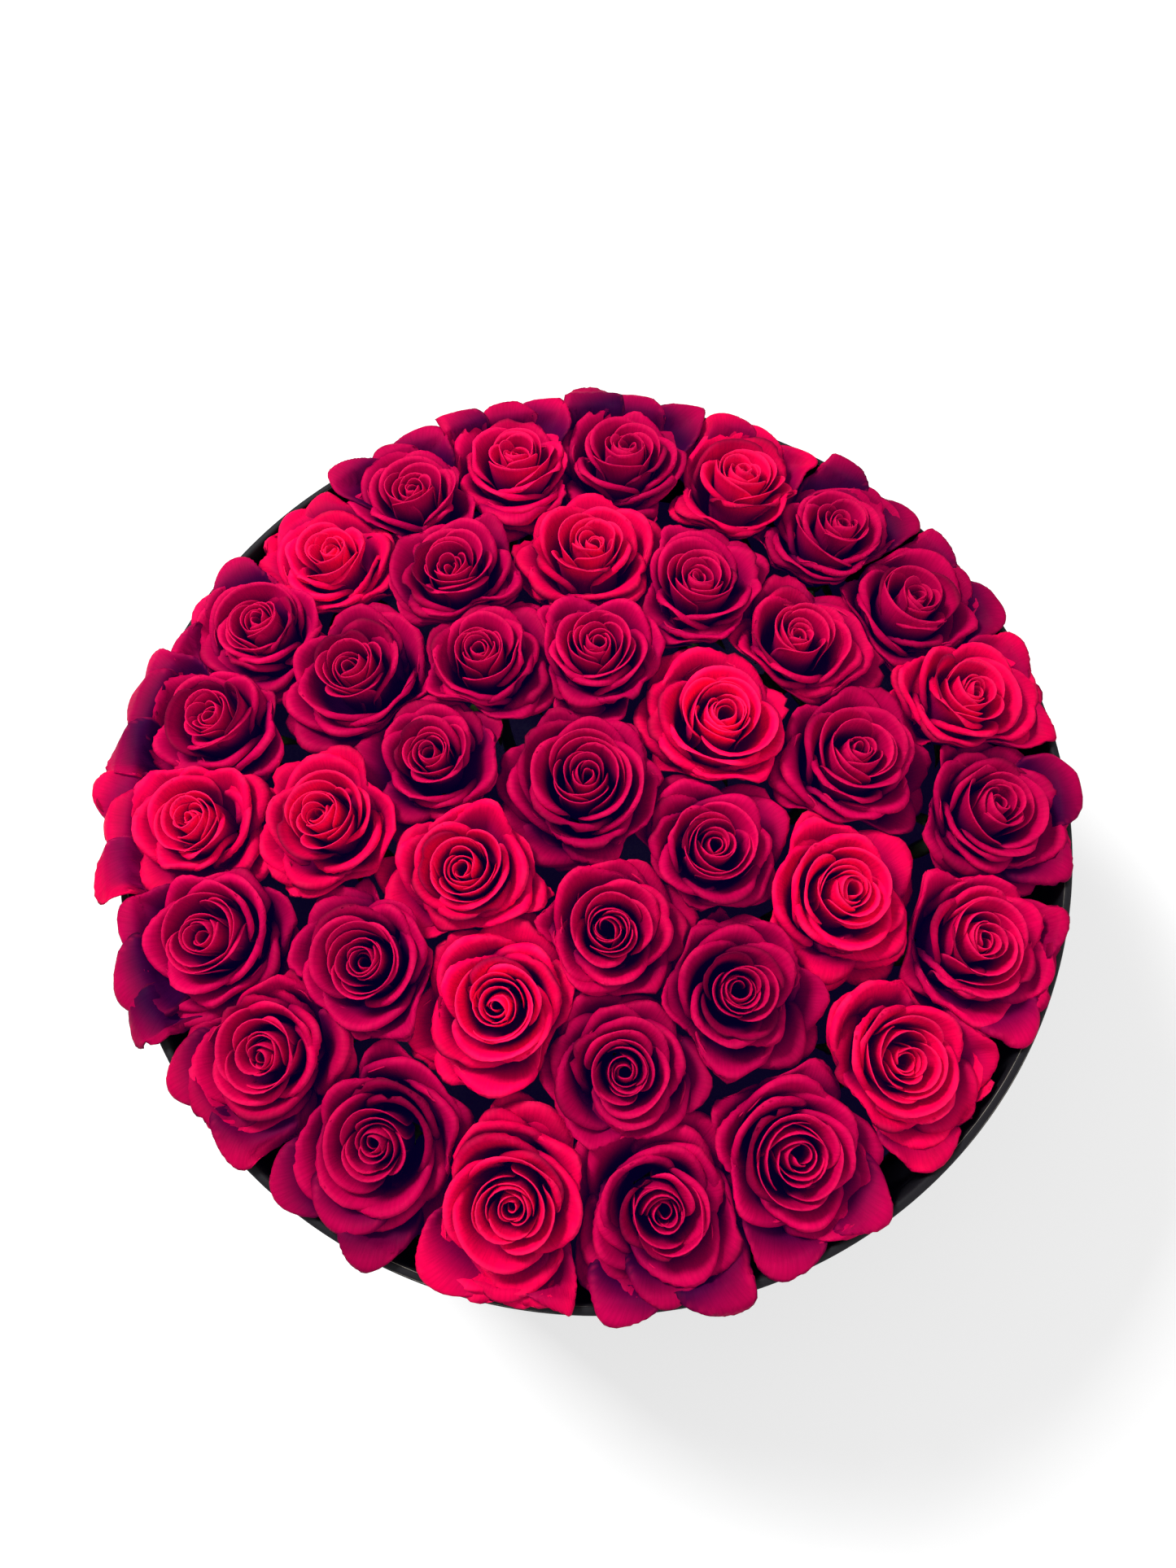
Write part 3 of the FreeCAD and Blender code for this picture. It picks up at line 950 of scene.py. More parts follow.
@dataclass
class RoseHead:
    """Head of one rose: a spiral of petals that open from the bud outwards, over wide guard petals.

    The crest is the line along which a petal's rim rolls over; a highlight is painted along it and along
    the rim. Petals that are torn far in get darker towards their outer edge.
    """

    place: RosePlace
    cell: Cell
    shade: Shade
    seed: int
    rim_reach: float
    spiral: SpiralRule = SpiralRule()
    guards: GuardRule = GuardRule()
    over_rim: OverRimRule = OverRimRule()
    thickness: float = 0.34 * MM
    roll_sink: float = 0.9 * MM
    # Painted highlight: the width of its band at the rim, its strength, and the roll angle and width of its
    # band along the crest.
    edge_band: float = 0.025
    crest_highlight: float = 0.6
    crest_turn: float = 0.7
    crest_width: float = 0.2
    # Petals torn further than the first of these get darker towards their outer edge, from the second share
    # of the way out, by up to the third.
    torn_from: float = 0.1
    darkening_from: float = 0.72
    edge_darkening: float = 0.75
    right_handed: float = 0.6
    opening_range: tuple[float, float] = (0.34, 0.56)
    bud_radius_range: tuple[float, float] = (1.6 * MM, 2.8 * MM)
    bud_sink_range: tuple[float, float] = (0.02, 0.10)
    bud_shift_spread: float = 1.4 * MM
    tone_range: tuple[float, float] = (0.84, 1.06)
    random: np.random.Generator = field(init=False)
    rotation: np.ndarray = field(init=False)
    turned: float = field(init=False)
    hand: int = field(init=False)
    opening: float = field(init=False)
    bud_radius: float = field(init=False)
    bud_sink: float = field(init=False)
    bud_shift: np.ndarray = field(init=False)
    tone: float = field(init=False)

    def __post_init__(self) -> None:
        """Draw what makes this rose differ from the others."""
        self.random = np.random.default_rng(self.seed)
        self.rotation = self.place.upright()
        self.turned = self.random.uniform(0, FULL_TURN)
        self.hand = 1 if self.random.random() < self.right_handed else -1
        self.opening = self.random.uniform(*self.opening_range)
        self.bud_radius = self.random.uniform(*self.bud_radius_range)
        self.bud_sink = self.random.uniform(*self.bud_sink_range)
        self.bud_shift = self.random.normal(0, self.bud_shift_spread, 2)
        self.tone = self.random.uniform(*self.tone_range)

    def room(self, bearing: float, longest: float, rise: float) -> float:
        """Free distance from the rose's axis.

        Args:
            bearing: Direction round the axis.
            longest: Answer where nothing is in the way.
            rise: Level, as a share of the head's height.

        Returns:
            The distance.
        """
        direction = self.rotation @ np.array([math.cos(bearing), math.sin(bearing), 0.0])
        start = self.place.foot + rise * self.place.height * self.place.axis
        return self.cell.reach(start, direction, longest)

    def petal(self, number: int) -> Petal:
        """Measures of one petal of the spiral.

        Args:
            number: Place in the spiral, 0 at the bud.

        Returns:
            The petal.
        """
        rule, random, high = self.spiral, self.random, self.place.height
        opened = number / (rule.petals - 1)
        closed = (1 - opened) ** 2
        settled = 1 - closed
        rolled = min(max((opened - rule.rolled_from) / rule.rolled_over, 0.0), 1.0)
        turned = rule.step * number + rule.whorl_step * (number // rule.whorl)
        bearing = self.turned + self.hand * turned + random.normal(0, rule.step_spread)
        outside = max(self.room(bearing, rule.widest, rule.level), rule.least_radius * self.place.radius)
        spread = min(opened * rule.ahead, 1.0)
        spread = self.opening * spread + (1 - self.opening) * spread ** 2
        lip_radius = Growth(self.bud_radius, outside).at(spread)
        lip_radius *= 1 + random.normal(0, rule.radius_spread.at(settled))
        drop = self.bud_sink * closed ** 2 + rule.lip_drop * opened ** rule.lip_drop_power
        lip_height = high * (rule.lip_rise.at(opened) - drop)
        base_radius = max(rule.base_least, rule.base_radius.at(opened) * lip_radius)
        base_height = high * rule.base_rise * (1 - opened) ** rule.base_rise_power
        lip_lean = rule.lip_lean.at(opened ** rule.lip_lean_power)
        wider = 1 + random.normal(0, rule.half_angle_spread.at(settled))
        return Petal(
            bearing=bearing,
            half_angle=rule.half_angle.at(settled) * wider,
            base=(base_radius, base_height),
            lip=(lip_radius, lip_height + random.normal(0, rule.lip_spread.at(settled))),
            base_lean=rule.base_lean.at(opened),
            lip_lean=lip_lean + random.normal(0, rule.lip_lean_spread),
            curl_radius=rule.curl_radius.at(opened),
            fold_tip=rule.fold_tip.at(rolled),
            fold_slope=rule.fold_slope.at(rolled) * random.uniform(*rule.fold_slope_range),
            fold_side=rule.fold_side.at(rolled),
            spiral=self.hand * random.uniform(*rule.overlap_range) * rule.overlap.at(settled),
            bulge=random.normal(0, rule.bulge_spread.at(settled)) * lip_radius,
            skew=random.normal(0, rule.skew_spread.at(settled)),
            ruffle=rule.ruffle.at(opened ** 2),
            crease=rule.crease.at(opened),
            tear=rule.tear if opened > rule.tear_from and random.random() < rule.tear_share else 0.0,
            phases=tuple(random.uniform(0, FULL_TURN, Petal.PHASES)),
            shift=tuple(self.bud_shift * closed),
            tone=1 + random.normal(0, rule.tone_spread),
            keel=rule.keel.at(rolled),
            inset=rule.inset + rule.inset_step * (rule.petals - number),
            rows=next(rows for end, rows in rule.rows if number < end),
        )

    def guard(self, sector: float, width: float, longest: float, rise: float, inset: float,
              droop: float = 0.0, rows: int = GuardRule.rows) -> Petal:
        """Measures of one guard petal, which fills a corner of the room under the head.

        Args:
            sector: Bearing of the middle of the sector in which it may lie.
            width: Width of that sector.
            longest: Reach where nothing is in the way.
            rise: Height of its lip as a share of the head.
            inset: Extra distance kept from the neighbours.
            droop: Angle by which its lip hangs further down.
            rows: Points along each side of its grid.

        Returns:
            The petal.
        """
        rule, random = self.guards, self.random
        bearings = sector + np.linspace(-width / 2, width / 2, rule.tries)
        rooms = [self.room(b, longest, rise) - rule.cost_of_turning * abs(b - sector) for b in bearings]
        bearing = float(bearings[int(np.argmax(rooms))])
        reach = self.room(bearing, longest, rise) * random.uniform(*rule.reach_range)
        return Petal(
            bearing=bearing,
            half_angle=random.uniform(*rule.half_width) / reach,
            base=rule.base,
            lip=(reach, self.place.height * rise),
            base_lean=rule.base_lean,
            lip_lean=random.uniform(*rule.lip_lean) + droop,
            curl_radius=random.uniform(*rule.curl_radius),
            fold_tip=rule.fold_tip,
            fold_slope=random.uniform(*rule.fold_slope),
            fold_side=rule.fold_side,
            spiral=0.0,
            bulge=0.0,
            skew=random.normal(0, rule.skew_spread),
            ruffle=random.uniform(*rule.ruffle),
            crease=rule.crease,
            tear=rule.tear if random.random() < rule.tear_share else rule.notch,
            phases=tuple(random.uniform(0, FULL_TURN, Petal.PHASES)),
            shift=(0.0, 0.0),
            tone=random.uniform(*rule.tone),
            keel=rule.keel,
            inset=inset,
            rows=rows,
        )

    def all_petals(self) -> list[Petal]:
        """Measures of all petals of the head.

        Returns:
            The spiral, then two layers of guard petals, and on the outer ring those that lie over the rim.
        """
        random, guards, over = self.random, self.guards, self.over_rim
        petals = [self.petal(number) for number in range(self.spiral.petals)]
        sector = FULL_TURN / guards.count
        for number in range(guards.count):
            for layer in guards.layers:
                start = self.turned + number * sector + layer.offset * sector
                rise = random.uniform(*layer.rise)
                petals.append(self.guard(start, layer.width * sector, guards.longest, rise, layer.inset))
        if math.hypot(*self.place.middle[:2]) + over.near * self.place.radius > self.cell.rim.inside:
            for number in range(over.count):
                aside = number - (over.count - 1) / 2
                bearing = aside * over.step + random.normal(0, over.step_spread)
                longest = self.rim_reach * (1 + over.further_aside * abs(aside))
                longest *= random.uniform(*over.reach_range)
                rise = random.uniform(*over.rise)
                inset = over.inset_step * (1 + number)
                petals.append(self.guard(bearing, over.sector, longest, rise, inset, over.droop, over.rows))
        return petals

    def marks(self, petal: Petal, along: np.ndarray, outward: np.ndarray,
              turn: np.ndarray) -> dict[str, np.ndarray]:
        """What the petal's material reads at each point of its grid.

        Args:
            petal: The petal.
            along: Disc coordinate from base to tip.
            outward: Share of the way from middle to edge.
            turn: Angle by which each point is rolled back.

        Returns:
            Values by the attribute's name: edge, the painted highlight along the rim and the crest; depth
            towards the base, where painted shade comes in; tone, darker towards the outer edge of a torn
            petal.
        """
        # Painted highlight: lighter along the crest of the roll and in a thin band at the rim.
        crest = self.crest_highlight * np.exp(-((turn - self.crest_turn) / self.crest_width) ** 2)
        edge = np.clip((outward - 1) / self.edge_band + 1, 0, 1)
        # Torn petals get darker towards their outer edge.
        edge_darkening = self.edge_darkening if petal.tear > self.torn_from else 0.0
        kept = 1 - edge_darkening * np.clip((outward - self.darkening_from) / (1 - self.darkening_from), 0, 1) ** 2
        tone = petal.tone * self.tone * kept
        return {"edge": np.maximum(crest, edge), "depth": (1 - along) / 2, "tone": tone}

    def build(self) -> bpy.types.Object:
        """Build all petals as closed shells in one mesh in the box's frame.

        Returns:
            The petal piece.
        """
        points, faces, flat = [], [], []
        marks = {"edge": [], "depth": [], "tone": []}
        count = 0
        for petal in self.all_petals():
            across, along, outward = petal.cut()
            local, turn = petal.curled(across, along)
            world = self.place.foot + local @ self.rotation.T
            inset = petal.inset - self.roll_sink * np.clip(turn, 0, 1)
            sheet = self.cell.squeeze(world.reshape(-1, 3), inset.ravel()).reshape(world.shape)
            shell, quads = self.shell(sheet)
            points.append(shell)
            faces.append(quads + count)
            count += len(shell)
            for name, values in self.marks(petal, along, outward, turn).items():
                marks[name].append(np.tile(values.ravel(), 2))
            width = petal.half_angle * petal.lip[0]
            length = math.dist(petal.base, petal.lip) / 2
            cut = np.stack([across.ravel() * width, along.ravel() * length], axis=1) / MM
            flat.append(np.tile(cut, (2, 1)))
        piece = mesh_object(f"{self.place.name}_petals", np.concatenate(points), np.concatenate(faces))
        for name, values in marks.items():
            set_attribute(piece, name, np.concatenate(values))
        self.unwrap(piece, np.concatenate(flat))
        return piece

    def shell(self, sheet: np.ndarray) -> tuple[np.ndarray, np.ndarray]:
        """Give a grid of points its thickness.

        Args:
            sheet: Grid of positions.

        Returns:
            Corner points and quads of the closed shell.
        """
        rows = sheet.shape[0]
        half = unit(np.cross(np.gradient(sheet, axis=0), np.gradient(sheet, axis=1))) * self.thickness / 2
        points = np.concatenate([(sheet + half).reshape(-1, 3), (sheet - half).reshape(-1, 3)])
        index = np.arange(rows * rows).reshape(rows, rows)
        outer = np.stack([index[:-1, :-1], index[1:, :-1], index[1:, 1:], index[:-1, 1:]], axis=-1)
        outer = outer.reshape(-1, 4)
        inner = outer[:, ::-1] + rows * rows
        loop = np.concatenate([index[:-1, 0], index[-1, :-1], index[:0:-1, -1], index[0, :0:-1]])
        following = np.roll(loop, -1)
        band = np.stack([following, loop, loop + rows * rows, following + rows * rows], axis=1)
        return points, np.concatenate([outer, inner, band])

    @staticmethod
    def unwrap(piece: bpy.types.Object, flat: np.ndarray) -> None:
        """Store each petal's flat cut as the piece's UV map.

        Args:
            piece: The petal piece.
            flat: Place of each corner point on the flat petal, in millimetres.
        """
        layer = piece.data.uv_layers.new(name="petal_cut")
        corners = np.empty(len(piece.data.loops), dtype=np.int32)
        piece.data.loops.foreach_get("vertex_index", corners)
        layer.data.foreach_set("uv", flat[corners].astype(np.float32).ravel())

    def dress(self, piece: bpy.types.Object, materials: dict[Shade, bpy.types.Material]) -> None:
        """Give the petals their finish and let them ride on their rose.

        Args:
            piece: The petal piece.
            materials: Petal materials by shade.
        """
        piece.data.materials.append(materials[self.shade])
        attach(piece, self.place.name)
        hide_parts(self.place.name)


@dataclass(frozen=True)
class RoseFoot:
    """Green foot of one rose: slant-cut stem, swollen hip and drooping sepals, grown by geometry nodes."""

    place: RosePlace
    seed: int
    stem_radius: float = 2.75 * MM
    hip_radius: float = 6.4 * MM
    hip_height: float = 9 * MM
    sepals: int = 5
    sepal_length: float = 15 * MM
    sepal_width: float = 6 * MM
    sepal_thickness: float = 1.1 * MM

    LENGTHS = (
        "Length", "Stem Radius", "Hip Radius", "Hip Height",
        "Sepal Length", "Sepal Width", "Sepal Thickness")
    NUMBERS = ("Sepals", "Seed")
    STEM_POINTS = 44
    STEM_SIDES = 14
    HIP_FROM = -1.1
    HIP_TO = -2 * MM
    KNOT_SPACING = 14 * MM
    KNOT_DETAIL = 1.0
    KNOT_HEIGHT = 0.8 * MM
    SLANT_HEIGHT = 6 * MM
    SEPAL_SEGMENTS = 12
    SEPAL_RINGS = 10
    SEPAL_TAPER = 1.3
    SEPAL_DROOP = -0.55
    SEPAL_TIP = (0.1, 0.5)
    SEPAL_GROWTH = (0.8, 1.1)
    GROWTH_SEED = 7
    CROWN_SHARE = 0.75
    CROWN_LEVEL = -1.2 * MM

    @classmethod
    def tree(cls, skin: bpy.types.Material) -> bpy.types.NodeTree:
        """Build the node tree that grows a foot below the origin.

        Args:
            skin: Material of the whole foot.

        Returns:
            The tree, with a named input for every size.
        """
        tree = bpy.data.node_groups.new("rose_foot", "GeometryNodeTree")
        for name in cls.LENGTHS:
            tree.interface.new_socket(name=name, in_out="INPUT", socket_type="NodeSocketFloat")
        for name in cls.NUMBERS:
            tree.interface.new_socket(name=name, in_out="INPUT", socket_type="NodeSocketInt")
        tree.interface.new_socket(name="Foot", in_out="OUTPUT", socket_type="NodeSocketGeometry")
        size = add_node(tree, "NodeGroupInput").outputs
        place = add_node(tree, "GeometryNodeInputPosition")
        x, y, z = add_node(tree, "ShaderNodeSeparateXYZ", {0: place}).outputs
        both = add_node(tree, "GeometryNodeJoinGeometry")
        tree.links.new(cls.stem(tree, size, place, x, z), both.inputs[0])
        tree.links.new(cls.crown(tree, size, cls.sepal(tree, size, x, y, z)), both.inputs[0])
        whole = add_node(tree, "GeometryNodeRealizeInstances", {"Geometry": both})
        whole = add_node(tree, "GeometryNodeSetShadeSmooth", {"Geometry": whole})
        whole = add_node(tree, "GeometryNodeSetMaterial", {"Geometry": whole, "Material": skin})
        add_node(tree, "NodeGroupOutput", {0: whole})
        return tree

    @classmethod
    def stem(cls, tree: bpy.types.NodeTree, size: bpy.types.bpy_prop_collection, place: bpy.types.Node,
             x: bpy.types.NodeSocket, z: bpy.types.NodeSocket) -> bpy.types.NodeSocket:
        """Sweep a ring along the stem, which swells to the hip at its top and is cut aslant at its end.

        Args:
            tree: Tree that takes the nodes.
            size: Outputs of the tree's input node.
            place: Node that gives a point's position.
            x: First coordinate of the position.
            z: Last coordinate of the position.

        Returns:
            The geometry of the stem.
        """
        end = add_node(tree, "ShaderNodeMath", {
            0: size["Stem Radius"], 1: size["Length"]}, operation="SUBTRACT")
        lower = add_node(tree, "ShaderNodeCombineXYZ", {"Z": end})
        line = add_node(tree, "GeometryNodeCurvePrimitiveLine", {"Start": lower, "End": (0.0, 0.0, 0.0)})
        line = add_node(tree, "GeometryNodeResampleCurve", {"Curve": line, "Count": cls.STEM_POINTS})
        hip = add_node(tree, "ShaderNodeMath", {
            0: size["Hip Height"], 1: cls.HIP_FROM}, operation="MULTIPLY")
        swell = add_node(tree, "ShaderNodeMapRange", {
            "Value": z, "From Min": hip, "From Max": cls.HIP_TO,
            "To Min": size["Stem Radius"], "To Max": size["Hip Radius"]}, interpolation_type="SMOOTHSTEP")
        knots = add_node(tree, "ShaderNodeTexNoise", {
            "Vector": place, "Scale": 1 / cls.KNOT_SPACING, "Detail": cls.KNOT_DETAIL})
        knots = add_node(tree, "ShaderNodeMath", {0: knots, 1: 0.5}, operation="SUBTRACT")
        knots = add_node(tree, "ShaderNodeMath", {0: knots, 1: cls.KNOT_HEIGHT}, operation="MULTIPLY")
        thick = add_node(tree, "ShaderNodeMath", {0: swell, 1: knots}, operation="ADD")
        ring = add_node(tree, "GeometryNodeCurvePrimitiveCircle", {
            "Resolution": cls.STEM_SIDES, "Radius": 1.0})
        stem = add_node(tree, "GeometryNodeCurveToMesh", {
            "Curve": line, "Profile Curve": ring, "Scale": thick, "Fill Caps": True})
        whole_from = add_node(tree, "ShaderNodeMath", {0: end, 1: cls.SLANT_HEIGHT}, operation="ADD")
        near_end = add_node(tree, "ShaderNodeMapRange", {
            "Value": z, "From Min": end, "From Max": whole_from, "To Min": 1.0, "To Max": 0.0})
        slant = add_node(tree, "ShaderNodeMath", {0: x, 1: near_end}, operation="MULTIPLY")
        slant = add_node(tree, "ShaderNodeCombineXYZ", {"Z": slant})
        return add_node(tree, "GeometryNodeSetPosition", {"Geometry": stem, "Offset": slant}).outputs[0]

    @classmethod
    def sepal(cls, tree: bpy.types.NodeTree, size: bpy.types.bpy_prop_collection, x: bpy.types.NodeSocket,
              y: bpy.types.NodeSocket, z: bpy.types.NodeSocket) -> bpy.types.NodeSocket:
        """Draw a ball out to one narrow leaf along +X, which droops more and more towards its tip.

        Args:
            tree: Tree that takes the nodes.
            size: Outputs of the tree's input node.
            x: First coordinate of the position.
            y: Second coordinate of the position.
            z: Last coordinate of the position.

        Returns:
            The geometry of the leaf.
        """
        ball = add_node(tree, "GeometryNodeMeshUVSphere", {
            "Segments": cls.SEPAL_SEGMENTS, "Rings": cls.SEPAL_RINGS, "Radius": 0.5})
        share = add_node(tree, "ShaderNodeMath", {0: x, 1: 0.5}, operation="ADD")
        forth = add_node(tree, "ShaderNodeMath", {0: share, 1: size["Sepal Length"]}, operation="MULTIPLY")
        taper = add_node(tree, "ShaderNodeMath", {0: cls.SEPAL_TAPER, 1: share}, operation="SUBTRACT")
        aside = add_node(tree, "ShaderNodeMath", {0: y, 1: taper}, operation="MULTIPLY")
        aside = add_node(tree, "ShaderNodeMath", {0: aside, 1: size["Sepal Width"]}, operation="MULTIPLY")
        droop = add_node(tree, "ShaderNodeMath", {0: share, 1: share}, operation="MULTIPLY")
        hang = add_node(tree, "ShaderNodeMath", {
            0: size["Sepal Length"], 1: cls.SEPAL_DROOP}, operation="MULTIPLY")
        droop = add_node(tree, "ShaderNodeMath", {0: droop, 1: hang}, operation="MULTIPLY")
        level = add_node(tree, "ShaderNodeMath", {0: z, 1: size["Sepal Thickness"]}, operation="MULTIPLY")
        level = add_node(tree, "ShaderNodeMath", {0: level, 1: droop}, operation="ADD")
        shape = add_node(tree, "ShaderNodeCombineXYZ", {"X": forth, "Y": aside, "Z": level})
        return add_node(tree, "GeometryNodeSetPosition", {"Geometry": ball, "Position": shape}).outputs[0]

    @classmethod
    def crown(cls, tree: bpy.types.NodeTree, size: bpy.types.bpy_prop_collection,
              sepal: bpy.types.NodeSocket) -> bpy.types.NodeSocket:
        """Set the sepals round the hip, each tipped and grown a little differently.

        Args:
            tree: Tree that takes the nodes.
            size: Outputs of the tree's input node.
            sepal: Geometry of one sepal.

        Returns:
            The instances.
        """
        radius = add_node(tree, "ShaderNodeMath", {
            0: size["Hip Radius"], 1: cls.CROWN_SHARE}, operation="MULTIPLY")
        ring = add_node(tree, "GeometryNodeMeshCircle", {"Vertices": size["Sepals"], "Radius": radius})
        ring = add_node(tree, "GeometryNodeTransform", {
            "Geometry": ring, "Translation": (0.0, 0.0, cls.CROWN_LEVEL)})
        number = add_node(tree, "GeometryNodeInputIndex")
        step = add_node(tree, "ShaderNodeMath", {0: FULL_TURN, 1: size["Sepals"]}, operation="DIVIDE")
        bearing = add_node(tree, "ShaderNodeMath", {0: number, 1: step}, operation="MULTIPLY")
        tip = add_node(tree, "FunctionNodeRandomValue", {
            "Min": cls.SEPAL_TIP[0], "Max": cls.SEPAL_TIP[1], "Seed": size["Seed"]}).outputs[1]
        seed = add_node(tree, "ShaderNodeMath", {0: size["Seed"], 1: cls.GROWTH_SEED}, operation="ADD")
        grown = add_node(tree, "FunctionNodeRandomValue", {
            "Min": cls.SEPAL_GROWTH[0], "Max": cls.SEPAL_GROWTH[1], "Seed": seed}).outputs[1]
        turned = add_node(tree, "ShaderNodeCombineXYZ", {"Y": tip, "Z": bearing})
        scaled = add_node(tree, "ShaderNodeCombineXYZ", {"X": grown, "Y": grown, "Z": 1.0})
        return add_node(tree, "GeometryNodeInstanceOnPoints", {
            "Points": ring, "Instance": sepal, "Rotation": turned, "Scale": scaled}).outputs[0]

    def build(self, tree: bpy.types.NodeTree) -> bpy.types.Object:
        """Grow the foot and set it under its head.

        Args:
            tree: The tree that grows it.

        Returns:
            The piece as a plain mesh.
        """
        lengths = (
            self.place.length - self.place.height, self.stem_radius, self.hip_radius, self.hip_height,
            self.sepal_length, self.sepal_width, self.sepal_thickness)
        sizes = dict(zip(self.LENGTHS + self.NUMBERS, lengths + (self.sepals, self.seed)))
        grower = bpy.data.objects.new("grower", bpy.data.meshes.new("grower"))
        bpy.context.scene.collection.objects.link(grower)
        modifier = grower.modifiers.new("foot", "NODES")
        modifier.node_group = tree
        for item in tree.interface.items_tree:
            if item.in_out == "INPUT":
                modifier[item.identifier] = sizes[item.name]
        grown = grower.evaluated_get(bpy.context.evaluated_depsgraph_get())
        mesh = bpy.data.meshes.new_from_object(grown)
        mesh.transform(Matrix.Translation(self.place.foot) @ Matrix(self.place.upright()).to_4x4())
        bpy.data.objects.remove(grower)
        piece = bpy.data.objects.new(f"{self.place.name}_stem", mesh)
        bpy.context.scene.collection.objects.link(piece)
        return piece

    def dress(self, piece: bpy.types.Object) -> None:
        """Let the foot, which has its skin from the tree, ride on its rose."""
        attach(piece, self.place.name)


@dataclass(frozen=True)
class BoxShell:
    """The paper-covered box: covering paper turned over a rounded rim, linings, board wall and base."""

    body: str = "box"
    paper: float = 0.4 * MM
    wall: float = 3.2 * MM
    rim_round: float = 1.3 * MM
    foot_round: float = 0.9 * MM
    round_points: int = 6
    turn_in: float = 15 * MM
    under: float = 12 * MM
    side_from: float = 2 * MM
    side_below_rim: float = 3 * MM
    side_points: int = 14
    segments: int = 288
    seam_step: float = 0.3 * MM
    seam_width: float = math.radians(5)
    seam_bearing: float = math.pi / 2
    # Height, count and phase of the waves that make the rim uneven, and the part of the wall they take up.
    waves: tuple[tuple[float, int, float], ...] = ((0.12 * MM, 5, 1.0), (0.08 * MM, 11, 0.0))
    uneven_part: float = 0.1

    @property
    def size(self) -> tuple[float, float, float]:
        """Upper corner of the box round the CAD covering paper."""
        return tuple(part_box("outer_wrap")[1])

    def outline(self, inset: float) -> np.ndarray:
        """Cross-section of one face of the covering paper, from under the base to inside the rim.

        Args:
            inset: Distance from the outer face.

        Returns:
            Rows of radius and height.
        """
        outside, _, top = self.size
        outer, inner, upper = outside - inset, outside - self.wall + inset, top - inset
        foot, rim = self.foot_round - inset, self.rim_round - inset
        quarter = np.linspace(0, math.pi / 2, self.round_points)
        growing, shrinking = 1 - np.cos(quarter), 1 - np.sin(quarter)
        side = np.linspace(self.side_from, top - self.side_below_rim, self.side_points)
        return np.concatenate([
            [(outside - self.under, inset)],
            np.stack([outer - foot * shrinking, inset + foot * growing], axis=1),
            np.stack([np.full(self.side_points, outer), side], axis=1),
            np.stack([outer - rim * growing, upper - rim * shrinking], axis=1),
            np.stack([inner + rim * shrinking, upper - rim * growing], axis=1),
            [(inner, top - self.turn_in)],
        ])

    def build(self) -> bpy.types.Object:
        """Turn the covering paper round the box, with its glued seam at the back.

        Returns:
            The paper as one closed piece.
        """
        outside, _, top = self.size
        section = np.concatenate([self.outline(0.0), self.outline(self.paper)[::-1]])
        angle = np.linspace(0, FULL_TURN, self.segments, endpoint=False)
        behind = (angle - self.seam_bearing) / self.seam_width
        lap = self.seam_step * np.where((behind >= 0) & (behind < 1), 1 - behind, 0.0)
        uneven = sum(height * np.sin(count * angle + phase) for height, count, phase in self.waves)
        lapped = section[:, 0] > outside - self.wall / 2
        radius = section[:, 0] + np.where(lapped, lap[:, None], 0.0)
        near_rim = np.clip((section[:, 1] / top - 1) / self.uneven_part + 1, 0, 1)
        height = section[:, 1] + uneven[:, None] * near_rim
        across, back = radius * np.cos(angle)[:, None], radius * np.sin(angle)[:, None]
        points = np.stack([across, back, height], axis=-1)
        index = np.arange(points.shape[0] * points.shape[1]).reshape(points.shape[:2])
        after = np.roll(index, -1, axis=0)
        faces = np.stack([index, after, np.roll(after, -1, axis=1), np.roll(index, -1, axis=1)], axis=-1)
        return mesh_object("cover_paper", points.reshape(-1, 3), faces.reshape(-1, 4))

    def dress(self) -> None:
        """Build the covering paper and dress the other CAD nodes of the box."""
        lining, board = LINING_PAPER.material(), GREYBOARD.material()
        paper = self.build()
        paper.data.materials.append(COVER_PAPER.material())
        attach(paper, self.body)
        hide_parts("outer_wrap")
        LOG.info("%s: %d faces", paper.name, len(paper.data.polygons))
        finishes = {"wall_lining": lining, "floor_lining": lining, "base_paper": lining,
                    "box_wall": board, "box_base": board}
        for node, finish in finishes.items():
            assign(frame["nodes"][node], finish)
            LOG.info("%s: %s", node, finish.name)


@dataclass(frozen=True)
class Insert:
    """The lift-out liner with its foam bricks."""

    liner: str = "water_liner"
    brick_prefix: str = "foam_"

    def dress(self) -> None:
        """Dress the CAD nodes of the insert."""
        finishes = {self.liner: LinerFinish().material()}
        foam = FoamFinish().material()
        finishes.update({name: foam for name in frame["nodes"] if name.startswith(self.brick_prefix)})
        for node, finish in finishes.items():
            assign(frame["nodes"][node], finish)
            LOG.info("%s: %s", node, finish.name)


@dataclass(frozen=True)
class Lamp:
    """Square soft lamp. Its place and its side are in metres, its power in watts."""

    name: str
    place: tuple[float, float, float]
    side: float
    power: float

    def build(self, target: Vector) -> None:
        """Add the lamp to the scene.

        Args:
            target: Point that it faces.
        """
        data = bpy.data.lights.new(self.name, "AREA")
        data.size = self.side
        data.energy = self.power
        lamp = bpy.data.objects.new(self.name, data)
        bpy.context.scene.collection.objects.link(lamp)
        lamp.location = self.place
        lamp.rotation_euler = (target - Vector(self.place)).to_track_quat("-Z", "Y").to_euler()


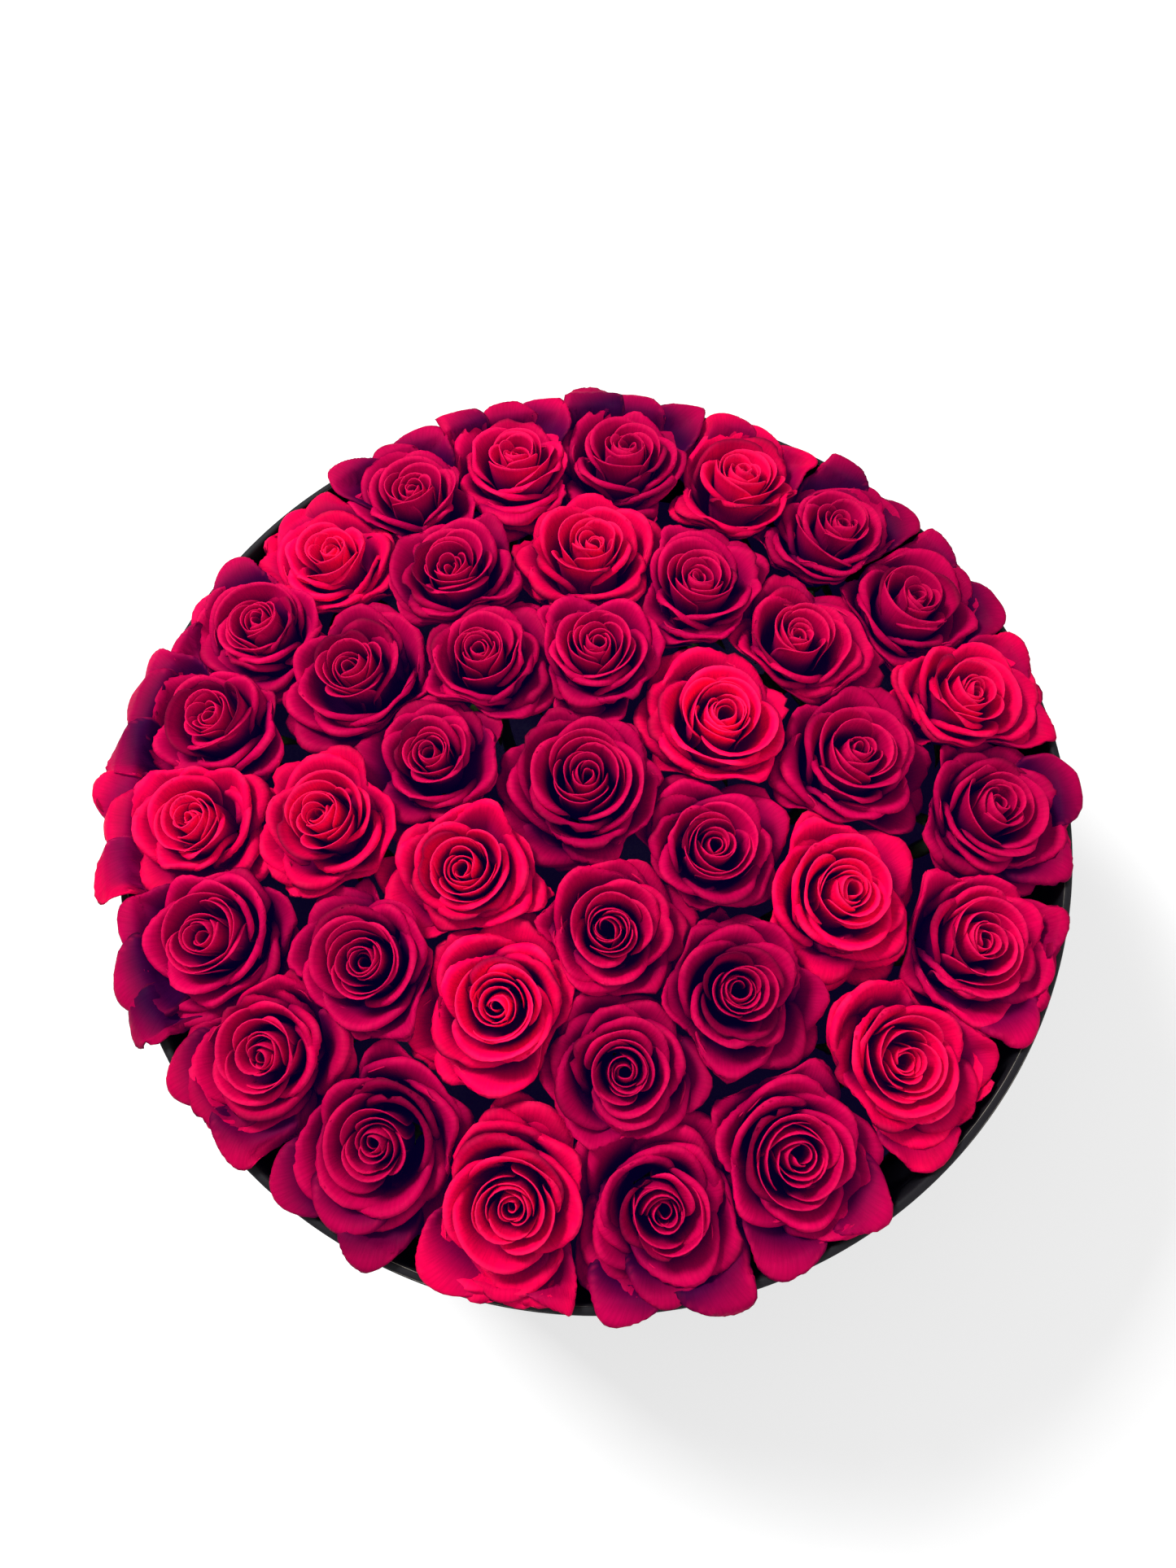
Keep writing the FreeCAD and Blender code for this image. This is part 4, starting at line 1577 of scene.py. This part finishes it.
@dataclass(frozen=True)
class Studio:
    """White floor, soft lamps and the camera of the photograph."""

    target: tuple[float, float, float] = (-2.9 * MM, -1.3 * MM, 185 * MM)
    distance: float = 392.7 * MM
    elevation: float = math.radians(70.3)
    lens: float = 25.26
    sensor: float = 36.0
    lamps: tuple[Lamp, ...] = (
        Lamp("key", (-0.75, 0.55, 1.25), 0.40, 25.5),
        Lamp("fill", (0.9, -0.7, 1.3), 1.2, 8.0),
    )
    floor_size: float = 60.0
    floor_paint: str = "#c8c8c8"
    # The floor's own brightness to the camera near the box and far from it, and the distances between.
    floor_glow: tuple[float, float] = (0.48, 0.95)
    floor_sweep: tuple[float, float] = (0.5, 2.5)
    sky_light: float = 0.45
    sky_seen: float = 1.0

    def build(self) -> None:
        """Make floor, lamps, world and camera."""
        self.floor()
        for lamp in self.lamps:
            lamp.build(Vector((0.0, 0.0, self.target[2])))
        self.world()
        self.camera()
        bpy.context.scene.view_settings.view_transform = "Standard"

    @staticmethod
    def seen(tree: bpy.types.NodeTree) -> bpy.types.Node:
        """Find where the camera sees the studio, directly, in a gloss or through a clear piece.

        Args:
            tree: Tree that takes the nodes.

        Returns:
            The node whose output is 1 there and 0 elsewhere.
        """
        path = add_node(tree, "ShaderNodeLightPath").outputs
        mirrored = add_node(tree, "ShaderNodeMath", {
            0: path["Is Glossy Ray"], 1: path["Is Transmission Ray"]}, operation="MAXIMUM")
        return add_node(tree, "ShaderNodeMath", {
            0: path["Is Camera Ray"], 1: mirrored}, operation="MAXIMUM")

    def floor(self) -> None:
        """White floor that shows near white to the camera and keeps the shadow."""
        half = self.floor_size / 2
        corners = np.array([[-half, -half, 0], [half, -half, 0], [half, half, 0], [-half, half, 0]])
        piece = mesh_object("floor", corners, np.array([[0, 1, 2, 3]]), smooth=False)
        material, tree = new_material("white_studio_floor")
        place = add_node(tree, "ShaderNodeTexCoord").outputs
        away = add_node(tree, "ShaderNodeVectorMath", {0: place["Object"]}, operation="LENGTH")
        sweep = add_node(tree, "ShaderNodeMapRange", {
            "Value": away.outputs["Value"],
            "From Min": self.floor_sweep[0], "From Max": self.floor_sweep[1],
            "To Min": self.floor_glow[0], "To Max": self.floor_glow[1]})
        glow = add_node(tree, "ShaderNodeMath", {0: self.seen(tree), 1: sweep}, operation="MULTIPLY")
        paint = add_node(tree, "ShaderNodeBsdfDiffuse", {"Color": linear(self.floor_paint)})
        light = add_node(tree, "ShaderNodeEmission", {"Strength": glow})
        both = add_node(tree, "ShaderNodeAddShader", {0: paint, 1: light})
        add_node(tree, "ShaderNodeOutputMaterial", {"Surface": both})
        piece.data.materials.append(material)

    def world(self) -> None:
        """White surroundings to the camera, soft grey light for the object."""
        world = bpy.data.worlds.new("studio")
        world.use_nodes = True
        tree = world.node_tree
        tree.nodes.clear()
        strength = add_node(tree, "ShaderNodeMapRange", {
            "Value": self.seen(tree), "To Min": self.sky_light, "To Max": self.sky_seen})
        sky = add_node(tree, "ShaderNodeBackground", {"Color": linear("#ffffff"), "Strength": strength})
        add_node(tree, "ShaderNodeOutputWorld", {"Surface": sky})
        bpy.context.scene.world = world

    def camera(self) -> None:
        """Camera at the photograph's steep view."""
        data = bpy.data.cameras.new("camera")
        data.lens = self.lens
        data.sensor_width = self.sensor
        camera = bpy.data.objects.new("camera", data)
        bpy.context.scene.collection.objects.link(camera)
        back = Vector((0.0, -math.cos(self.elevation), math.sin(self.elevation)))
        camera.location = Vector(self.target) + self.distance * back
        camera.rotation_euler = (-back).to_track_quat("-Z", "Y").to_euler()
        bpy.context.scene.camera = camera


# How far petals reach out over the rim, and the roses whose petals hang further over it than the others'.
RIM_REACH = 35 * MM
LONG_RIM_REACH = 43 * MM
LONG_PETALS = {"rose_outer_01", "rose_outer_14", "rose_outer_15", "rose_outer_16", "rose_outer_20"}


def main() -> None:
    """Build and dress every piece in order."""
    logging.basicConfig(level=logging.INFO, format="%(message)s")
    shades = {row["node"]: row["material_slot"] for row in frame["record"]["subparts"]}
    places = [RosePlace.read(joint) for joint in frame["joints"] if joint["parent"] == "insert"]
    materials = {shade: finish.material() for shade, finish in PETAL_FINISHES.items()}
    cells = Cell.plan(places, Rim.read())
    foot_tree = RoseFoot.tree(StemFinish().material())
    for seed, (place, cell) in enumerate(zip(places, cells), 1):
        reach = LONG_RIM_REACH if place.name in LONG_PETALS else RIM_REACH
        head = RoseHead(place, cell, Shade(shades[place.name]), seed, reach)
        piece = head.build()
        head.dress(piece, materials)
        foot = RoseFoot(place, seed)
        stem = foot.build(foot_tree)
        foot.dress(stem)
        LOG.info("%s: %d faces, stem %d", piece.name, len(piece.data.polygons), len(stem.data.polygons))
    BoxShell().dress()
    Insert().dress()
    Studio().build()


if __name__ == "__main__":
    main()
